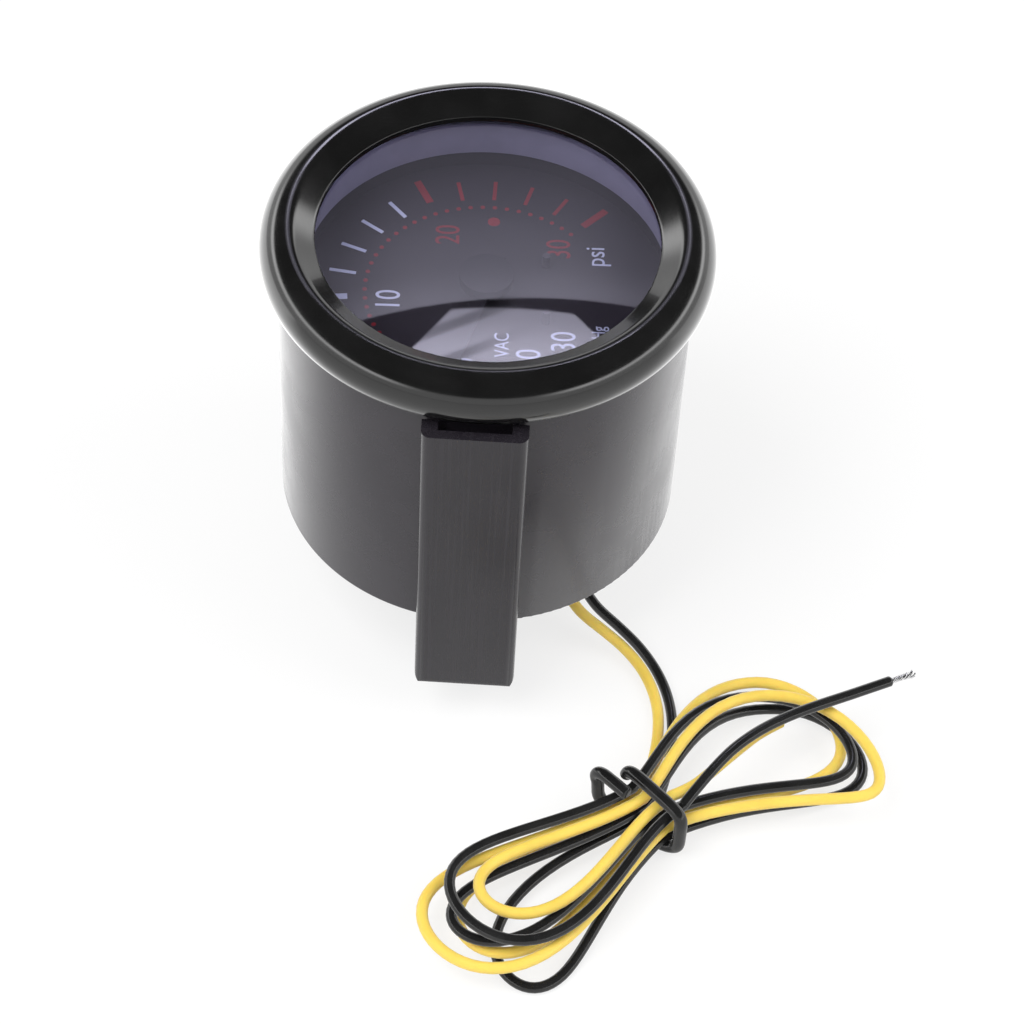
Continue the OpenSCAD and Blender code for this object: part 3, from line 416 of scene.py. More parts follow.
class Finishes:
    """Every finish of the gauge."""

    CAN = Paint("can_black_paint", "can_paint", (0.021, 0.018, 0.024), 0.27, peel_mm=0.001, dust_and_sheen_weight=0.08)
    BEZEL = Paint("bezel_gloss_paint", "bezel_gloss", (0.005, 0.005, 0.005), 0.16, coat=0.5, peel_mm=0.001)
    # The leg's lines carry a painted sheen: lighter streaks in its colour.
    LEG = Paint(
        "leg_satin_paint", "bracket_paint", (0.013, 0.011, 0.015), 0.24, peel_mm=0.001, lines_mm=0.003
    )
    LENS = SmokedGlass("smoked_lens_glass", "smoked_lens", (0.82, 0.81, 0.84))
    REFLECTOR = Moulded("reflector_grey_plastic", "reflector_grey", (0.36, 0.36, 0.52), 0.5)
    CUP = Moulded("cup_white_plastic", "white_plastic", (0.8, 0.8, 0.77), 0.55)
    GUIDE = Moulded("guide_clear_plastic", "clear_plastic", (0.8, 0.82, 0.85), 0.15)
    LAMP = Moulded("lamp_white_resin", "lamp_white", (0.9, 0.86, 0.7), 0.25)
    BOARD = Board("lamp_board_lacquer", "board_green", (0.01, 0.1, 0.03), (0.03, 0.2, 0.06))
    RUBBER = Moulded("black_rubber_skin", "black_rubber", (0.015, 0.015, 0.016), 0.65, 3.0, 0.012)
    BRASS = Metal("turned_brass", "brass", (0.78, 0.56, 0.22), (0.5, 0.33, 0.12), 0.3)
    BRONZE = Metal("tube_bronze_strip", "tube_bronze", (0.75, 0.45, 0.24), (0.4, 0.2, 0.1), 0.32)
    STEEL = Metal("bright_steel_stock", "bright_steel", (0.62, 0.62, 0.64), (0.42, 0.41, 0.42), 0.28)
    BLUED = Metal("blued_steel_strip", "blue_steel", (0.2, 0.25, 0.42), (0.12, 0.13, 0.2), 0.25)
    NUT = Moulded("nut_black_nylon", "nut_black", (0.018, 0.018, 0.018), 0.4)
    POINTER = Paint("pointer_black_paint", "pointer_black", (0.03, 0.028, 0.036), 0.6)
    PINS = Moulded("pin_grey_plastic", "pin_grey", (0.075, 0.07, 0.088), 0.6)
    DIAL = DialFace("dial_dark_print", "dial_face", (0.028, 0.024, 0.032), (0.04, 0.037, 0.045))
    WHITE_INK = Moulded("white_dial_ink", "dial_face", (0.62, 0.68, 0.95), 0.5, 8.0, 0.003)
    RED_INK = Moulded("red_dial_ink", "dial_face", (0.26, 0.012, 0.022), 0.5, 8.0, 0.003)
    YELLOW = Moulded("yellow_insulation_skin", "yellow_wire", (0.8, 0.58, 0.1), 0.32, 3.0, 0.003, 0.15)
    BLACK = Moulded("black_insulation_skin", "black_wire", (0.01, 0.01, 0.01), 0.2, 3.0, 0.003)
    TINNED = Metal("tinned_copper_wire", "tinned_copper", (0.85, 0.85, 0.86), (0.6, 0.58, 0.55), 0.25)
    TIE = Moulded("tie_black_skin", "tie_black", (0.008, 0.008, 0.008), 0.18, 3.0, 0.003)


PLAIN_NODES: list[tuple[Finish, str]] = [
    (Finishes.CAN, "case"),
    (Finishes.RUBBER, "lens_gasket"),
    (Finishes.DIAL, "dial_clamp_ring dial"),
    (Finishes.GUIDE, "light_guide"),
    (Finishes.BOARD, "lamp_board"),
    (Finishes.LAMP, "lamps"),
    (Finishes.CUP, "inner_cup"),
    (Finishes.BRASS, "movement_base lower_plate upper_plate pillars tube_tip sector_gear"),
    (Finishes.BRASS, "hairspring_collet hairspring_stud"),
    (Finishes.STEEL, "board_screws movement_screws link link_pin sector_arbor pinion_spindle"),
    (Finishes.BRONZE, "pressure_tube"),
    (Finishes.BLUED, "hairspring"),
    (Finishes.PINS, "stop_pins"),
    (Finishes.YELLOW, "yellow_inner_lead"),
    (Finishes.BLACK, "black_inner_lead"),
]


@dataclass(frozen=True)
class Skin:
    """What a piece is called and wears, the nodes that it replaces and the body that it moves with."""

    name: str
    finish: Finish
    nodes: tuple[str, ...] = ()
    body: Body = Body.HOUSING


class Shell:
    """Turns arrays of points into closed Blender meshes."""

    @staticmethod
    def piece(skin: Skin, points: Array, faces: list[list[int]], angle: float = 30.0) -> Piece:
        """Makes a piece from points and faces, hangs it on its body and hides the nodes that it replaces.

        Args:
            skin: Its skin.
            points: Its points, in metres.
            faces: Its faces, as rows of point numbers.
            angle: Edges that turn by more degrees than this stay sharp.

        Returns:
            The piece, shaded smooth.
        """
        mesh = bpy.data.meshes.new(skin.name)
        mesh.from_pydata(points.tolist(), [], faces)
        mesh.validate()
        mesh.shade_smooth()
        mesh.set_sharp_from_angle(angle=math.radians(angle))
        mesh.materials.append(skin.finish.material())
        made = bpy.data.objects.new(skin.name, mesh)
        bpy.context.scene.collection.objects.link(made)
        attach(made, skin.body.value)
        if skin.nodes:
            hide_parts(*skin.nodes)
        log.info("%s: %d faces", made.name, len(mesh.polygons))
        return made

    @staticmethod
    def merged(points: Array, corners: Array, within: float) -> tuple[Array, Array]:
        """Merges points that lie within a distance, in metres, and numbers the faces' corners anew."""
        _, first, back = np.unique(np.round(points / within), axis=0, return_index=True, return_inverse=True)
        return points[first], back.reshape(-1)[corners]

    @classmethod
    def weld(cls, points: Array, quads: Array) -> tuple[Array, list[list[int]]]:
        """Merges points that coincide and drops what that flattens, then turns all faces outwards.

        A closed surface holds a positive volume, the sum over its triangles of a sixth of the first corner's
        product with the cross product of the other two, when its faces point outwards.

        Args:
            points: The points, one row each.
            quads: Four point numbers a row.

        Returns:
            The merged points, and the faces.
        """
        kept, quads = cls.merged(points, quads, within=1e-8)
        a, b, c, d = (kept[quads[:, k]] for k in range(4))
        volume = np.sum(a * np.cross(b, c)) + np.sum(a * np.cross(c, d))
        if volume < 0:
            quads = quads[:, ::-1]
        same = quads == np.roll(quads, -1, axis=1)
        whole = quads[~same.any(axis=1)].tolist()
        pole = quads[same.sum(axis=1) == 1]
        keep = ~(pole == np.roll(pole, -1, axis=1))
        return kept, whole + pole[keep].reshape(-1, 3).tolist()

    @staticmethod
    def grid(points: Array, closed: bool) -> tuple[Array, Array]:
        """Quads between neighbours on one or more grids.

        Args:
            points: Points on grids, with the last axes rows, columns and coordinates.
            closed: Whether the last row meets the first, as the last column always does.

        Returns:
            The points, one row each, and the quads.
        """
        points = points.reshape(-1, *points.shape[-3:])
        count, rows, columns = points.shape[:3]
        index = np.arange(count * rows * columns).reshape(count, rows, columns)
        if closed:
            index = np.concatenate([index, index[:, :1]], axis=1)
        index = np.concatenate([index, index[:, :, :1]], axis=2)
        corners = [index[:, :-1, :-1], index[:, 1:, :-1], index[:, 1:, 1:], index[:, :-1, 1:]]
        return points.reshape(-1, 3), np.stack([c.reshape(-1) for c in corners], axis=1)

    @classmethod
    def turned(cls, skin: Skin, outline: Array, steps: int = 256) -> Piece:
        """Turns a closed outline round a vertical axis: x is radius times cosine, y is radius times sine.

        Args:
            skin: The piece's skin.
            outline: Radius and height of the outline's points, in millimetres.
            steps: Steps of the turn.

        Returns:
            The piece.
        """
        a = circle(steps)[:, None]
        r, z = outline[None, :, 0], outline[None, :, 1]
        points = np.stack([r * np.cos(a), r * np.sin(a), z + 0.0 * a], axis=-1)
        return cls.piece(skin, *cls.weld(*cls.grid(points * MM, closed=True)))

    @staticmethod
    def rounded(corners: Sequence[Triple], steps: int = 6) -> Array:
        """Rounds the corners of a closed outline.

        Each corner gives way to an arc that touches both its sides, drawn as a quadratic blend of the two
        touching points and the corner.

        Args:
            corners: Radius, height and size of the round at each corner, in millimetres.
            steps: Steps of each round.

        Returns:
            The outline's points.
        """
        table = np.array(corners, float)
        at, size = table[:, :2], table[:, 2:]
        before, after = unit(np.roll(at, 1, axis=0) - at), unit(np.roll(at, -1, axis=0) - at)
        t = np.linspace(0.0, 1.0, steps)[None, :, None]
        start, end = (at + before * size)[:, None], (at + after * size)[:, None]
        arcs = (1 - t) ** 2 * start + 2 * t * (1 - t) * at[:, None] + t**2 * end
        return arcs.reshape(-1, 2)

    @classmethod
    def tubes(cls, skin: Skin, paths: Array, radius: float, sides: int = 20) -> Piece:
        """Carries a circle along each path, with a rounded end at both ends.

        No path runs along the slanted line that a ring's two axes are taken from.

        Args:
            skin: The piece's skin.
            paths: Points of one or more paths, with the last axes points and coordinates, in metres.
            radius: The circle's radius, in metres.
            sides: Sides of the circle.

        Returns:
            The piece.
        """
        paths = paths.reshape(-1, *paths.shape[-2:])
        along = unit(np.gradient(paths, axis=1))
        first, last = paths[:, :1], paths[:, -1:]
        tips = 0.25 * radius * along[:, :1], 0.25 * radius * along[:, -1:]
        rows = [first, first, first + tips[0], paths[:, 1:-1], last - tips[1], last, last]
        paths = np.concatenate(rows, axis=1)
        shares = [0.0, 0.8, 1.0]
        radii = radius * np.array(shares + [1.0] * (paths.shape[1] - 6) + shares[::-1])
        along = np.concatenate([along[:, :1]] * 2 + [along] + [along[:, -1:]] * 2, axis=1)
        across, upward = square_to(along)
        a = circle(sides)[None, None, :, None]
        ring = np.cos(a) * across[:, :, None] + np.sin(a) * upward[:, :, None]
        points = paths[:, :, None] + radii[:, None, None] * ring
        return cls.piece(skin, *cls.weld(*cls.grid(points, closed=False)), angle=60.0)

    @classmethod
    def copy_of(cls, skin: Skin, bevel_mm: float = 0.0) -> None:
        """Makes a merged, smoothly shaded copy of the one node that the skin replaces.

        Args:
            skin: The copy's skin.
            bevel_mm: Width of the round on its sharp edges.
        """
        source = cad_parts[skin.nodes[0]].data
        points = np.empty(3 * len(source.vertices))
        source.vertices.foreach_get("co", points)
        corners = np.empty(len(source.loops), int)
        source.loops.foreach_get("vertex_index", corners)
        points, corners = cls.merged(points.reshape(-1, 3), corners.reshape(-1, 3), within=1e-7)
        real = np.all(corners != np.roll(corners, 1, axis=1), axis=1)
        piece = cls.piece(skin, points, corners[real].tolist())
        if not bevel_mm:
            return
        flat = piece.modifiers.new("flat faces", "DECIMATE")
        flat.decimate_type = "DISSOLVE"
        flat.angle_limit = math.radians(1.0)
        edge = piece.modifiers.new("soft edges", "BEVEL")
        edge.width = bevel_mm * MM
        edge.segments = 3
        edge.limit_method = "ANGLE"
        edge.angle_limit = math.radians(40.0)
        edge.harden_normals = True


@dataclass(frozen=True)
class Loop:
    """One loop of a lead's hank, from the waist out and back to the waist."""

    side: Side
    tilt: float
    reach: float
    width: float
    tracks: tuple[int, int]
    first_layer: int
    far_height: float
    last_layer: int

    def points(self, hank: Hank, t: Array) -> Array:
        """Points on the loop.

        Its reach follows a half sine, and its two runs part by a power of that sine, so that they meet the
        waist side by side. Its tilt grows with the sine's square, and its height eases from one layer to
        the far end's height and on to the other layer.

        Args:
            hank: The hank that it belongs to.
            t: Shares of the loop, from 0 to 1.

        Returns:
            The points, in millimetres.
        """
        s, c = np.maximum(np.sin(np.pi * t), 0.0), np.cos(np.pi * t)
        power = hank.widening[self.side.value]
        widest = 2.0 * math.sqrt(power / (1.0 + power)) ** power * math.sqrt(1.0 / (1.0 + power))
        out = self.reach * s
        start, end = (hank.tracks[k] for k in self.tracks)
        side = end * (1 - c) / 2 - start * (1 + c) / 2 - self.width / widest * c * s**power
        a = np.radians(hank.turn + (0.0 if self.side is Side.RIGHT else 180.0) + self.tilt * s**2)
        low, high = hank.layers[self.first_layer], hank.layers[self.last_layer]
        z = low + (self.far_height - low) * smooth(t, *hank.leave)
        z = z + (high - self.far_height) * smooth(t, *hank.arrive)
        x, y = out * np.cos(a) - side * np.sin(a), out * np.sin(a) + side * np.cos(a)
        return np.stack([x, y, z], axis=-1) + np.array(hank.waist)


@dataclass(frozen=True)
class Hank:
    """The place and the layers of the hank that both leads are wound in, in millimetres."""

    waist: Triple = (24.5, -46.0, 0.0)
    turn: float = 45.0
    widening: Pair = (1.5, 1.3)
    tracks: Pair = (1.03, 3.1)
    layers: Triple = (2.6, 4.65, 6.7)
    leave: Pair = (0.08, 0.25)
    arrive: Pair = (0.68, 0.24)

    def along(self) -> Array:
        """The direction of the hank's right side."""
        a = math.radians(self.turn)
        return np.array([math.cos(a), math.sin(a), 0.0])

    def across(self) -> Array:
        """The direction across the waist, to the right of the loops' way out."""
        return np.cross(self.along(), [0.0, 0.0, 1.0])


def refined(points: Array, times: int) -> Array:
    """Draws a smooth curve through points.

    Each pass adds a point between each two: nine sixteenths of their sum, less a sixteenth of the sum of the
    points before and after them.

    Args:
        points: The points to pass through.
        times: How often the points are doubled.

    Returns:
        The curve's points.
    """
    for _ in range(times):
        before = np.concatenate([points[:1], points[:-2]])
        after = np.concatenate([points[2:], points[-1:]])
        middles = (9.0 * (points[:-1] + points[1:]) - before - after) / 16.0
        woven = np.empty((2 * len(points) - 1, 3))
        woven[0::2], woven[1::2] = points, middles
        points = woven
    return points


@dataclass(frozen=True)
class Lead:
    """A lead from the grommet through the hank to its bared end."""

    colour: str
    finish: Finish
    diameter: float
    route: Sequence[Triple]
    loops: Sequence[Loop]
    tail: Sequence[Triple]
    bare_length: float = 3.6
    wire_r: float = 0.13
    spread: Pair = (0.3, 0.2)
    half_turns: float = 2.2
    middle_share: float = 0.94
    loop_steps: int = 48

    def path(self, hank: Hank) -> Array:
        """The lead's whole centreline.

        Args:
            hank: The hank that it is wound in.

        Returns:
            The points, in millimetres.
        """
        t = np.linspace(0.0, 1.0, self.loop_steps, endpoint=False)
        wound = np.concatenate([loop.points(hank, t) for loop in self.loops])
        end = self.loops[-1].points(hank, np.array([1.0]))
        step = self.diameter * hank.along()
        start = wound[:1] + step
        route = np.array(self.route, float)
        to_hank = refined(np.concatenate([route[1:], start + step]), times=3)
        from_hank = refined(np.concatenate([end + 2 * step, np.array(self.tail, float)]), times=3)
        return np.concatenate([route[:1], to_hank, start, wound, end, end + step, from_hank])

    def build(self, hank: Hank) -> None:
        """Args:
            hank: The hank that it is wound in.
        """
        path = self.path(hank) * MM
        nodes = tuple(f"{self.colour}_{part}" for part in ("lead", "hank", "tail"))
        cord = Shell.tubes(Skin(f"{self.colour}_cord", self.finish, nodes), path, self.diameter / 2 * MM)
        cord.visible_glossy = False
        wires = self.bared(path[-1], unit(path[-1] - path[-2]))

    def bared(self, end: Array, along: Array) -> Piece:
        """Twisted wires that spread a little at the cut.

        Each wire circles the lead's line at a distance that grows towards the cut, and the middle one runs
        straight.

        Args:
            end: Where the insulation ends, in metres.
            along: The lead's direction there.

        Returns:
            The wires, as one piece.
        """
        s = np.linspace(0.0, 1.0, 28)[None, :]
        reach = np.array([1.0, 0.93, 0.98, 0.88, 1.0, 0.95, 0.9, 0.97])[:, None]
        phase = circle(len(reach))[:, None]
        spread = (self.spread[0] + self.spread[1] * s**3) * MM
        across, upward = square_to(along)
        turn = phase + self.half_turns * np.pi * s
        run = (s * reach * self.bare_length * MM)[..., None] * along
        swirl = spread[..., None] * (np.cos(turn)[..., None] * across + np.sin(turn)[..., None] * upward)
        middle = (s * self.bare_length * self.middle_share * MM)[..., None] * along
        paths = end + np.concatenate([run + swirl, middle])
        skin = Skin(f"{self.colour}_bared_wires", Finishes.TINNED, (f"{self.colour}_strands",))
        return Shell.tubes(skin, paths, self.wire_r * MM, sides=10)


@dataclass(frozen=True)
class Tie:
    """The black tie that goes once round the hank's waist and ends in a slack half turn."""

    diameter: float = 1.7
    play: float = 0.34
    lead: float = 1.5
    squareness: float = 0.4
    bulge: float = 0.5
    bulge_out: Pair = (0.72, 0.12)
    bulge_in: Pair = (0.93, 0.07)
    lean: Pair = (0.45, 0.35)
    lean_by: Pair = (0.4, 1.7)
    turn: Pair = (165.0, 430.0)

    def build(self, hank: Hank) -> None:
        """Makes the tie.

        It follows a rounded rectangle: the width and the height go with a power of the cosine and the sine,
        and its end bulges out, comes back in and leans across.

        Args:
            hank: The hank that it holds.
        """
        t = np.linspace(0.0, 1.0, 121)
        a = np.radians(self.turn[0] - self.turn[1] * t)
        slack = 1.0 + self.bulge * smooth(t, *self.bulge_out) * (1.0 - smooth(t, *self.bulge_in))
        reach = (self.lead + self.diameter) / 2 + self.play
        half, low, high = hank.tracks[1] + reach, self.diameter / 2, hank.layers[2] + reach
        square = [np.sign(w) * np.abs(w) ** self.squareness for w in (np.cos(a), np.sin(a))]
        side = (half * slack * square[0])[:, None]
        z = (high + low) / 2 + (high - low) / 2 * square[1]
        out = (self.diameter * (self.lean_by[0] - self.lean_by[1] * smooth(t, *self.lean)))[:, None]
        path = out * hank.along() + side * hank.across() + np.array(hank.waist)
        path[:, 2] = z
        skin = Skin("waist_tie", Finishes.TIE, ("wire_tie",))
        Shell.tubes(skin, refined(path, times=1) * MM, self.diameter / 2 * MM, sides=24)


class Wiring:
    """Both leads, the tie and the grommet."""

    HANK = Hank()
    YELLOW = Lead(
        "yellow",
        Finishes.YELLOW,
        1.5,
        [
            (10.4, -7, 15), (10.4, -7, 13.4), (11, -8.6, 10.8), (12.4, -12.1, 7.9), (14.6, -14.4, 5.6),
            (17.4, -15.6, 3.7), (20.4, -17.1, 2.1), (22.9, -19.5, 1.2), (24.7, -22.8, 0.8),
            (25.7, -27, 0.8), (25.7, -31.6, 0.8), (25.1, -35.8, 1.1), (24.6, -39.4, 1.9),
        ],
        [
            Loop(Side.LEFT, -2, 29, 9, (1, 0), 0, 2.4, 0),
            Loop(Side.RIGHT, -7, 30, 15.5, (0, 1), 0, 2.4, 1),
            Loop(Side.LEFT, -6, 33.5, 12, (1, 1), 1, 4.5, 1),
            Loop(Side.RIGHT, -24, 30.5, 15.5, (1, 0), 1, 5.9, 2),
            Loop(Side.LEFT, -7, 25.5, 8, (0, 0), 2, 6.5, 2),
        ],
        [(30.3, -42.6, 6.6), (34.2, -38.4, 6.6), (38.2, -34, 6.3), (41.5, -31.4, 6.1)],
    )
    BLACK = Lead(
        "black",
        Finishes.BLACK,
        1.4,
        [
            (12.6, -7, 15), (12.6, -7, 13.4), (13.2, -8.4, 10.9), (14.7, -11.7, 8.2), (16.9, -13.9, 6),
            (19.6, -15.3, 4.2), (22.5, -17.2, 2.6), (24.9, -19.8, 1.4), (26.6, -23.2, 0.8),
            (27.5, -27.4, 0.8), (27.6, -32, 0.8), (27.1, -36.4, 1), (26.3, -40.3, 1.7),
        ],
        [
            Loop(Side.LEFT, 9, 28.5, 8.4, (0, 1), 0, 0.7, 0),
            Loop(Side.RIGHT, -13, 31, 14, (1, 0), 0, 0.7, 1),
            Loop(Side.LEFT, -6, 30, 8.2, (0, 0), 1, 4.5, 1),
            Loop(Side.RIGHT, -19, 29, 13, (0, 1), 1, 4.15, 2),
            Loop(Side.LEFT, -7, 29, 11.6, (1, 1), 2, 6.5, 2),
        ],
        [
            (31, -43.3, 8.1), (34.6, -38.5, 8.5), (38.7, -34.6, 8.5), (43.8, -31.2, 8.3), (50.1, -27.8, 7.9),
            (55.7, -24.6, 7.3),
        ],
    )

    def build(self) -> None:
        """Makes the leads, then what holds them."""
        self.YELLOW.build(self.HANK)
        self.BLACK.build(self.HANK)
        Tie().build(self.HANK)
        Shell.copy_of(Skin("grommet_skin", Finishes.RUBBER, ("wire_grommet",)), bevel_mm=0.25)


@dataclass(frozen=True)
class Front:
    """The crimped bezel, the lens and the reflector ring, in millimetres."""

    opening: float = 21.4
    ridge_r: float = 24.45
    ridge_z: float = 62.0
    edge_z: float = 60.0
    round_r: float = 3.9
    foot_z: float = 55.2
    case_r: float = 26.1
    pocket_r: float = 27.1
    pocket_z: Pair = (56.0, 59.2)
    lens_edge: float = 0.4
    reflector_bore: float = 22.9

    def bezel(self) -> None:
        """Turns the bezel: a lip over the lens, a slope up to the ridge, a round outer side and a foot."""
        lowest = math.asin((self.foot_z - self.ridge_z + self.round_r) / self.round_r)
        a = np.linspace(math.pi / 2 - 0.1, lowest, 48)
        outer = np.array([self.ridge_r, self.ridge_z - self.round_r]) + self.round_r * directions(a)
        crest, foot = outer[0], outer[-1]
        low, high = self.pocket_z
        corners = [
            (foot[0], foot[1], 0.15), (self.case_r, self.foot_z, 0.1), (self.case_r, low, 0.05),
            (self.pocket_r, low, 0.05), (self.pocket_r, high, 0.05), (self.opening, high, 0.05),
            (self.opening, self.edge_z, 0.12), (self.opening + 0.3, self.edge_z + 0.2, 0.0),
            (self.ridge_r - 0.8, self.ridge_z - 0.48, 0.0), (self.ridge_r - 0.12, self.ridge_z - 0.02, 0.5),
            (crest[0], crest[1], 0.02),
        ]
        outline = np.concatenate([outer[1:-1], Shell.rounded(corners, steps=5)])
        Shell.turned(Skin("bezel_ring", Finishes.BEZEL, ("bezel",)), outline, steps=360)

    @staticmethod
    def extent(node: str) -> Triple:
        """A round node's radius, bottom and top, in millimetres."""
        low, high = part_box(node)
        return high[0] / MM, low[2] / MM, high[2] / MM

    def lens(self) -> None:
        """Turns the lens, a flat disc with ground edges."""
        radius, bottom, top = self.extent("lens")
        flat = radius - self.lens_edge
        corners = [(0, bottom, 0), (flat, bottom, 0), (radius, bottom, 0.2)]
        corners += [(radius, top, 0.2), (flat, top, 0), (0, top, 0)]
        Shell.turned(Skin("lens_glass", Finishes.LENS, ("lens",)), Shell.rounded(corners, steps=4))

    def reflector(self) -> None:
        """Turns the pale ring under the lens."""
        outer, bottom, top = self.extent("reflector_ring")
        bore = self.reflector_bore
        corners = [(bore, bottom, 0.1), (outer, bottom, 0.1), (outer, top, 0.1), (bore, top, 0.2)]
        skin = Skin("reflector_band", Finishes.REFLECTOR, ("reflector_ring",))
        Shell.turned(skin, Shell.rounded(corners, steps=4))

    def build(self) -> None:
        """Makes the three rings."""
        self.bezel()
        self.lens()
        self.reflector()


@dataclass(frozen=True)
class Word:
    """A word or a number on the dial: where its middle lies and how tall it is, in millimetres."""

    text: str
    x: float
    y: float
    height: float = 3.13
    squeeze: float = 0.8


@dataclass(frozen=True)
class Print:
    """The dial's print, in millimetres and in degrees from +X."""

    top: float = 50.0
    thickness: float = 0.03
    zero: float = 257.2
    boost_step: float = 14.0
    vacuum_step: float = 10.0
    up: float = 182.2
    long_bar: Triple = (17.4, 21.6, 0.95)
    short_bar: Triple = (16.6, 20.0, 0.5)
    dots_r: float = 15.2
    dot_r: float = 0.3
    middle_dot: Triple = (0.4, 12.6, 0.8)
    dot_angles: Triple = (47.2, 257.0, 5.9)

    def bars(self, skin: Skin, angles: Array, long: Array) -> None:
        """Lays thin radial bars on the dial.

        Each corner is the bar's middle line plus or minus half its width.

        Args:
            skin: Their skin.
            angles: Direction of each bar.
            long: Whether each bar is a long and wide one.
        """
        size = np.where(long[:, None], [self.long_bar], [self.short_bar])[:, :, None, None]
        out = directions(np.radians(angles)[:, None, None])
        across = out[..., ::-1] * [-1.0, 1.0]
        sides = np.array([-0.5, 0.5])[None, None, :, None] * size[:, 2:]
        flat = size[:, :2] * out + sides * across
        self.prisms(skin, np.concatenate([flat[:, 0], flat[:, 1, ::-1]], axis=1))

    def prisms(self, skin: Skin, flat: Array) -> None:
        """Gives flat outlines the ink's thickness and closes them.

        Args:
            skin: Their skin.
            flat: Outlines, with the last axes points and coordinates, in millimetres.
        """
        count, sides = flat.shape[:2]
        middle = np.broadcast_to(flat.mean(axis=1, keepdims=True), flat.shape)
        low, high = self.top - self.thickness / 3, self.top + self.thickness
        rings = [(middle, low), (flat, low), (flat, high), (middle, high)]
        points = np.stack([np.dstack([f, np.full((count, sides), z)]) for f, z in rings], axis=1)
        Shell.piece(skin, *Shell.weld(*Shell.grid(points * MM, closed=False)))

    def dots(self, skin: Skin, places: Array, radius: float) -> None:
        """Lays round dots of one radius on the dial, with their middles at the places."""
        self.prisms(skin, places[:, None] + radius * directions(circle(14)))

    def words(self, skin: Skin, words: Sequence[Word]) -> None:
        """Sets words on the dial, upright towards the dial's top.

        Args:
            skin: Their skin.
            words: The words.
        """
        points, faces, count = [], [], 0
        for word in words:
            some, corners = self.letters(word)
            points.append(some)
            faces += [[count + k for k in face] for face in corners]
            count += len(some)
        Shell.piece(skin, np.concatenate(points), faces)

    def letters(self, word: Word) -> tuple[Array, list[list[int]]]:
        """One word as a thin solid, squeezed and turned into its place.

        Args:
            word: The word.

        Returns:
            Its points, in metres, and its faces.
        """
        curve = bpy.data.curves.new("letters", "FONT")
        curve.body, curve.extrude, curve.resolution_u = word.text, 0.5, 4
        holder = bpy.data.objects.new("letters", curve)
        mesh = holder.to_mesh()
        flat = np.empty(3 * len(mesh.vertices))
        mesh.vertices.foreach_get("co", flat)
        faces = [list(face.vertices) for face in mesh.polygons]
        flat = flat.reshape(-1, 3)
        low, high = flat.min(axis=0), flat.max(axis=0)
        flat = (flat - (low + high) / 2) / (high[1] - low[1]) * word.height
        holder.to_mesh_clear()
        bpy.data.objects.remove(holder)
        bpy.data.curves.remove(curve)
        a = math.radians(self.up)
        up, right = np.array([math.cos(a), math.sin(a)]), np.array([math.sin(a), -math.cos(a)])
        place = flat[:, :1] * word.squeeze * right + flat[:, 1:2] * up + np.array([word.x, word.y])
        z = self.top + self.thickness * np.where(flat[:, 2:] > 0, 1.0, -0.3)
        return np.concatenate([place, z], axis=1) * MM, faces

    def build(self) -> None:
        """Prints the scales, the dots, the numbers and the units."""
        white, red = Finishes.WHITE_INK, Finishes.RED_INK
        boost = np.arange(0, 16)
        angles, long, high = self.zero - self.boost_step * boost, boost % 5 == 0, boost >= 10
        self.bars(Skin("boost_bars_white", white), angles[~high], long[~high])
        self.bars(Skin("boost_bars_red", red), angles[high], long[high])
        vacuum = np.arange(1, 7)
        skin = Skin("vacuum_bars_white", white)
        self.bars(skin, self.zero + self.vacuum_step * vacuum, vacuum % 2 == 0)
        places = self.dots_r * directions(np.radians(np.arange(*self.dot_angles)))
        self.dots(Skin("warning_dots", red), places, self.dot_r)
        self.dots(Skin("middle_dot", red), np.array([self.middle_dot[:2]]), self.middle_dot[2])
        words = [
            Word("10", -12.2, -2.1), Word("0", -2.4, -12.4), Word("20", 5.8, -11.2), Word("30", 10.0, -7.8),
            Word("psi", 14.0, 7.4, 3.1, 0.9), Word("VAC", 2.4, -9.05, 1.85), Word("inHg", 14.6, -6.6, 2.2),
        ]
        self.words(Skin("white_words", white), words)
        self.words(Skin("red_words", red), [Word("20", -5.4, 9.8), Word("30", 8.8, 8.4)])


class Back:
    """What shows behind the can: the bracket, its nuts, washers and studs, and the nipple."""

    def build(self) -> None:
        """Makes a smooth copy of each of them."""
        rows = [
            ("bracket", "clamp_bracket", Body.CLAMP, Finishes.LEG, 0.15),
            ("lock_washers", "washer_pair", Body.CLAMP, Finishes.STEEL, 0.1),
            ("thumb_nut_front", "nut_front", Body.FRONT_NUT, Finishes.NUT, 0.12),
            ("thumb_nut_rear", "nut_rear", Body.REAR_NUT, Finishes.NUT, 0.12),
            ("mounting_studs", "stud_pair", Body.HOUSING, Finishes.STEEL, 0.15),
            ("hose_nipple", "barbed_nipple", Body.HOUSING, Finishes.BRASS, 0.1),
            ("nipple_washer", "seal_washer", Body.HOUSING, Finishes.RUBBER, 0.1),
            ("case", "can_shell", Body.HOUSING, Finishes.CAN, 0.0),
            ("pointer", "pointer_blade", Body.NEEDLE, Finishes.POINTER, 0.06),
            ("pointer_cap", "pointer_dome", Body.NEEDLE, Finishes.POINTER, 0.0),
        ]
        for node, name, body, finish, bevel in rows:
            Shell.copy_of(Skin(name, finish, (node,), body), bevel)


def stand(made: Piece, right: Array, back: Array, place: Triple) -> None:
    """Links a camera, a lamp or a card to the scene, with its axes and its place.

    Args:
        made: The object.
        right: Its X axis.
        back: Its Z axis.
        place: Its place, in metres.
    """
    turn = np.eye(4)
    turn[:3] = np.stack([right, np.cross(back, right), back, place], axis=1)
    made.matrix_world = Matrix(turn.tolist())
    bpy.context.scene.collection.objects.link(made)


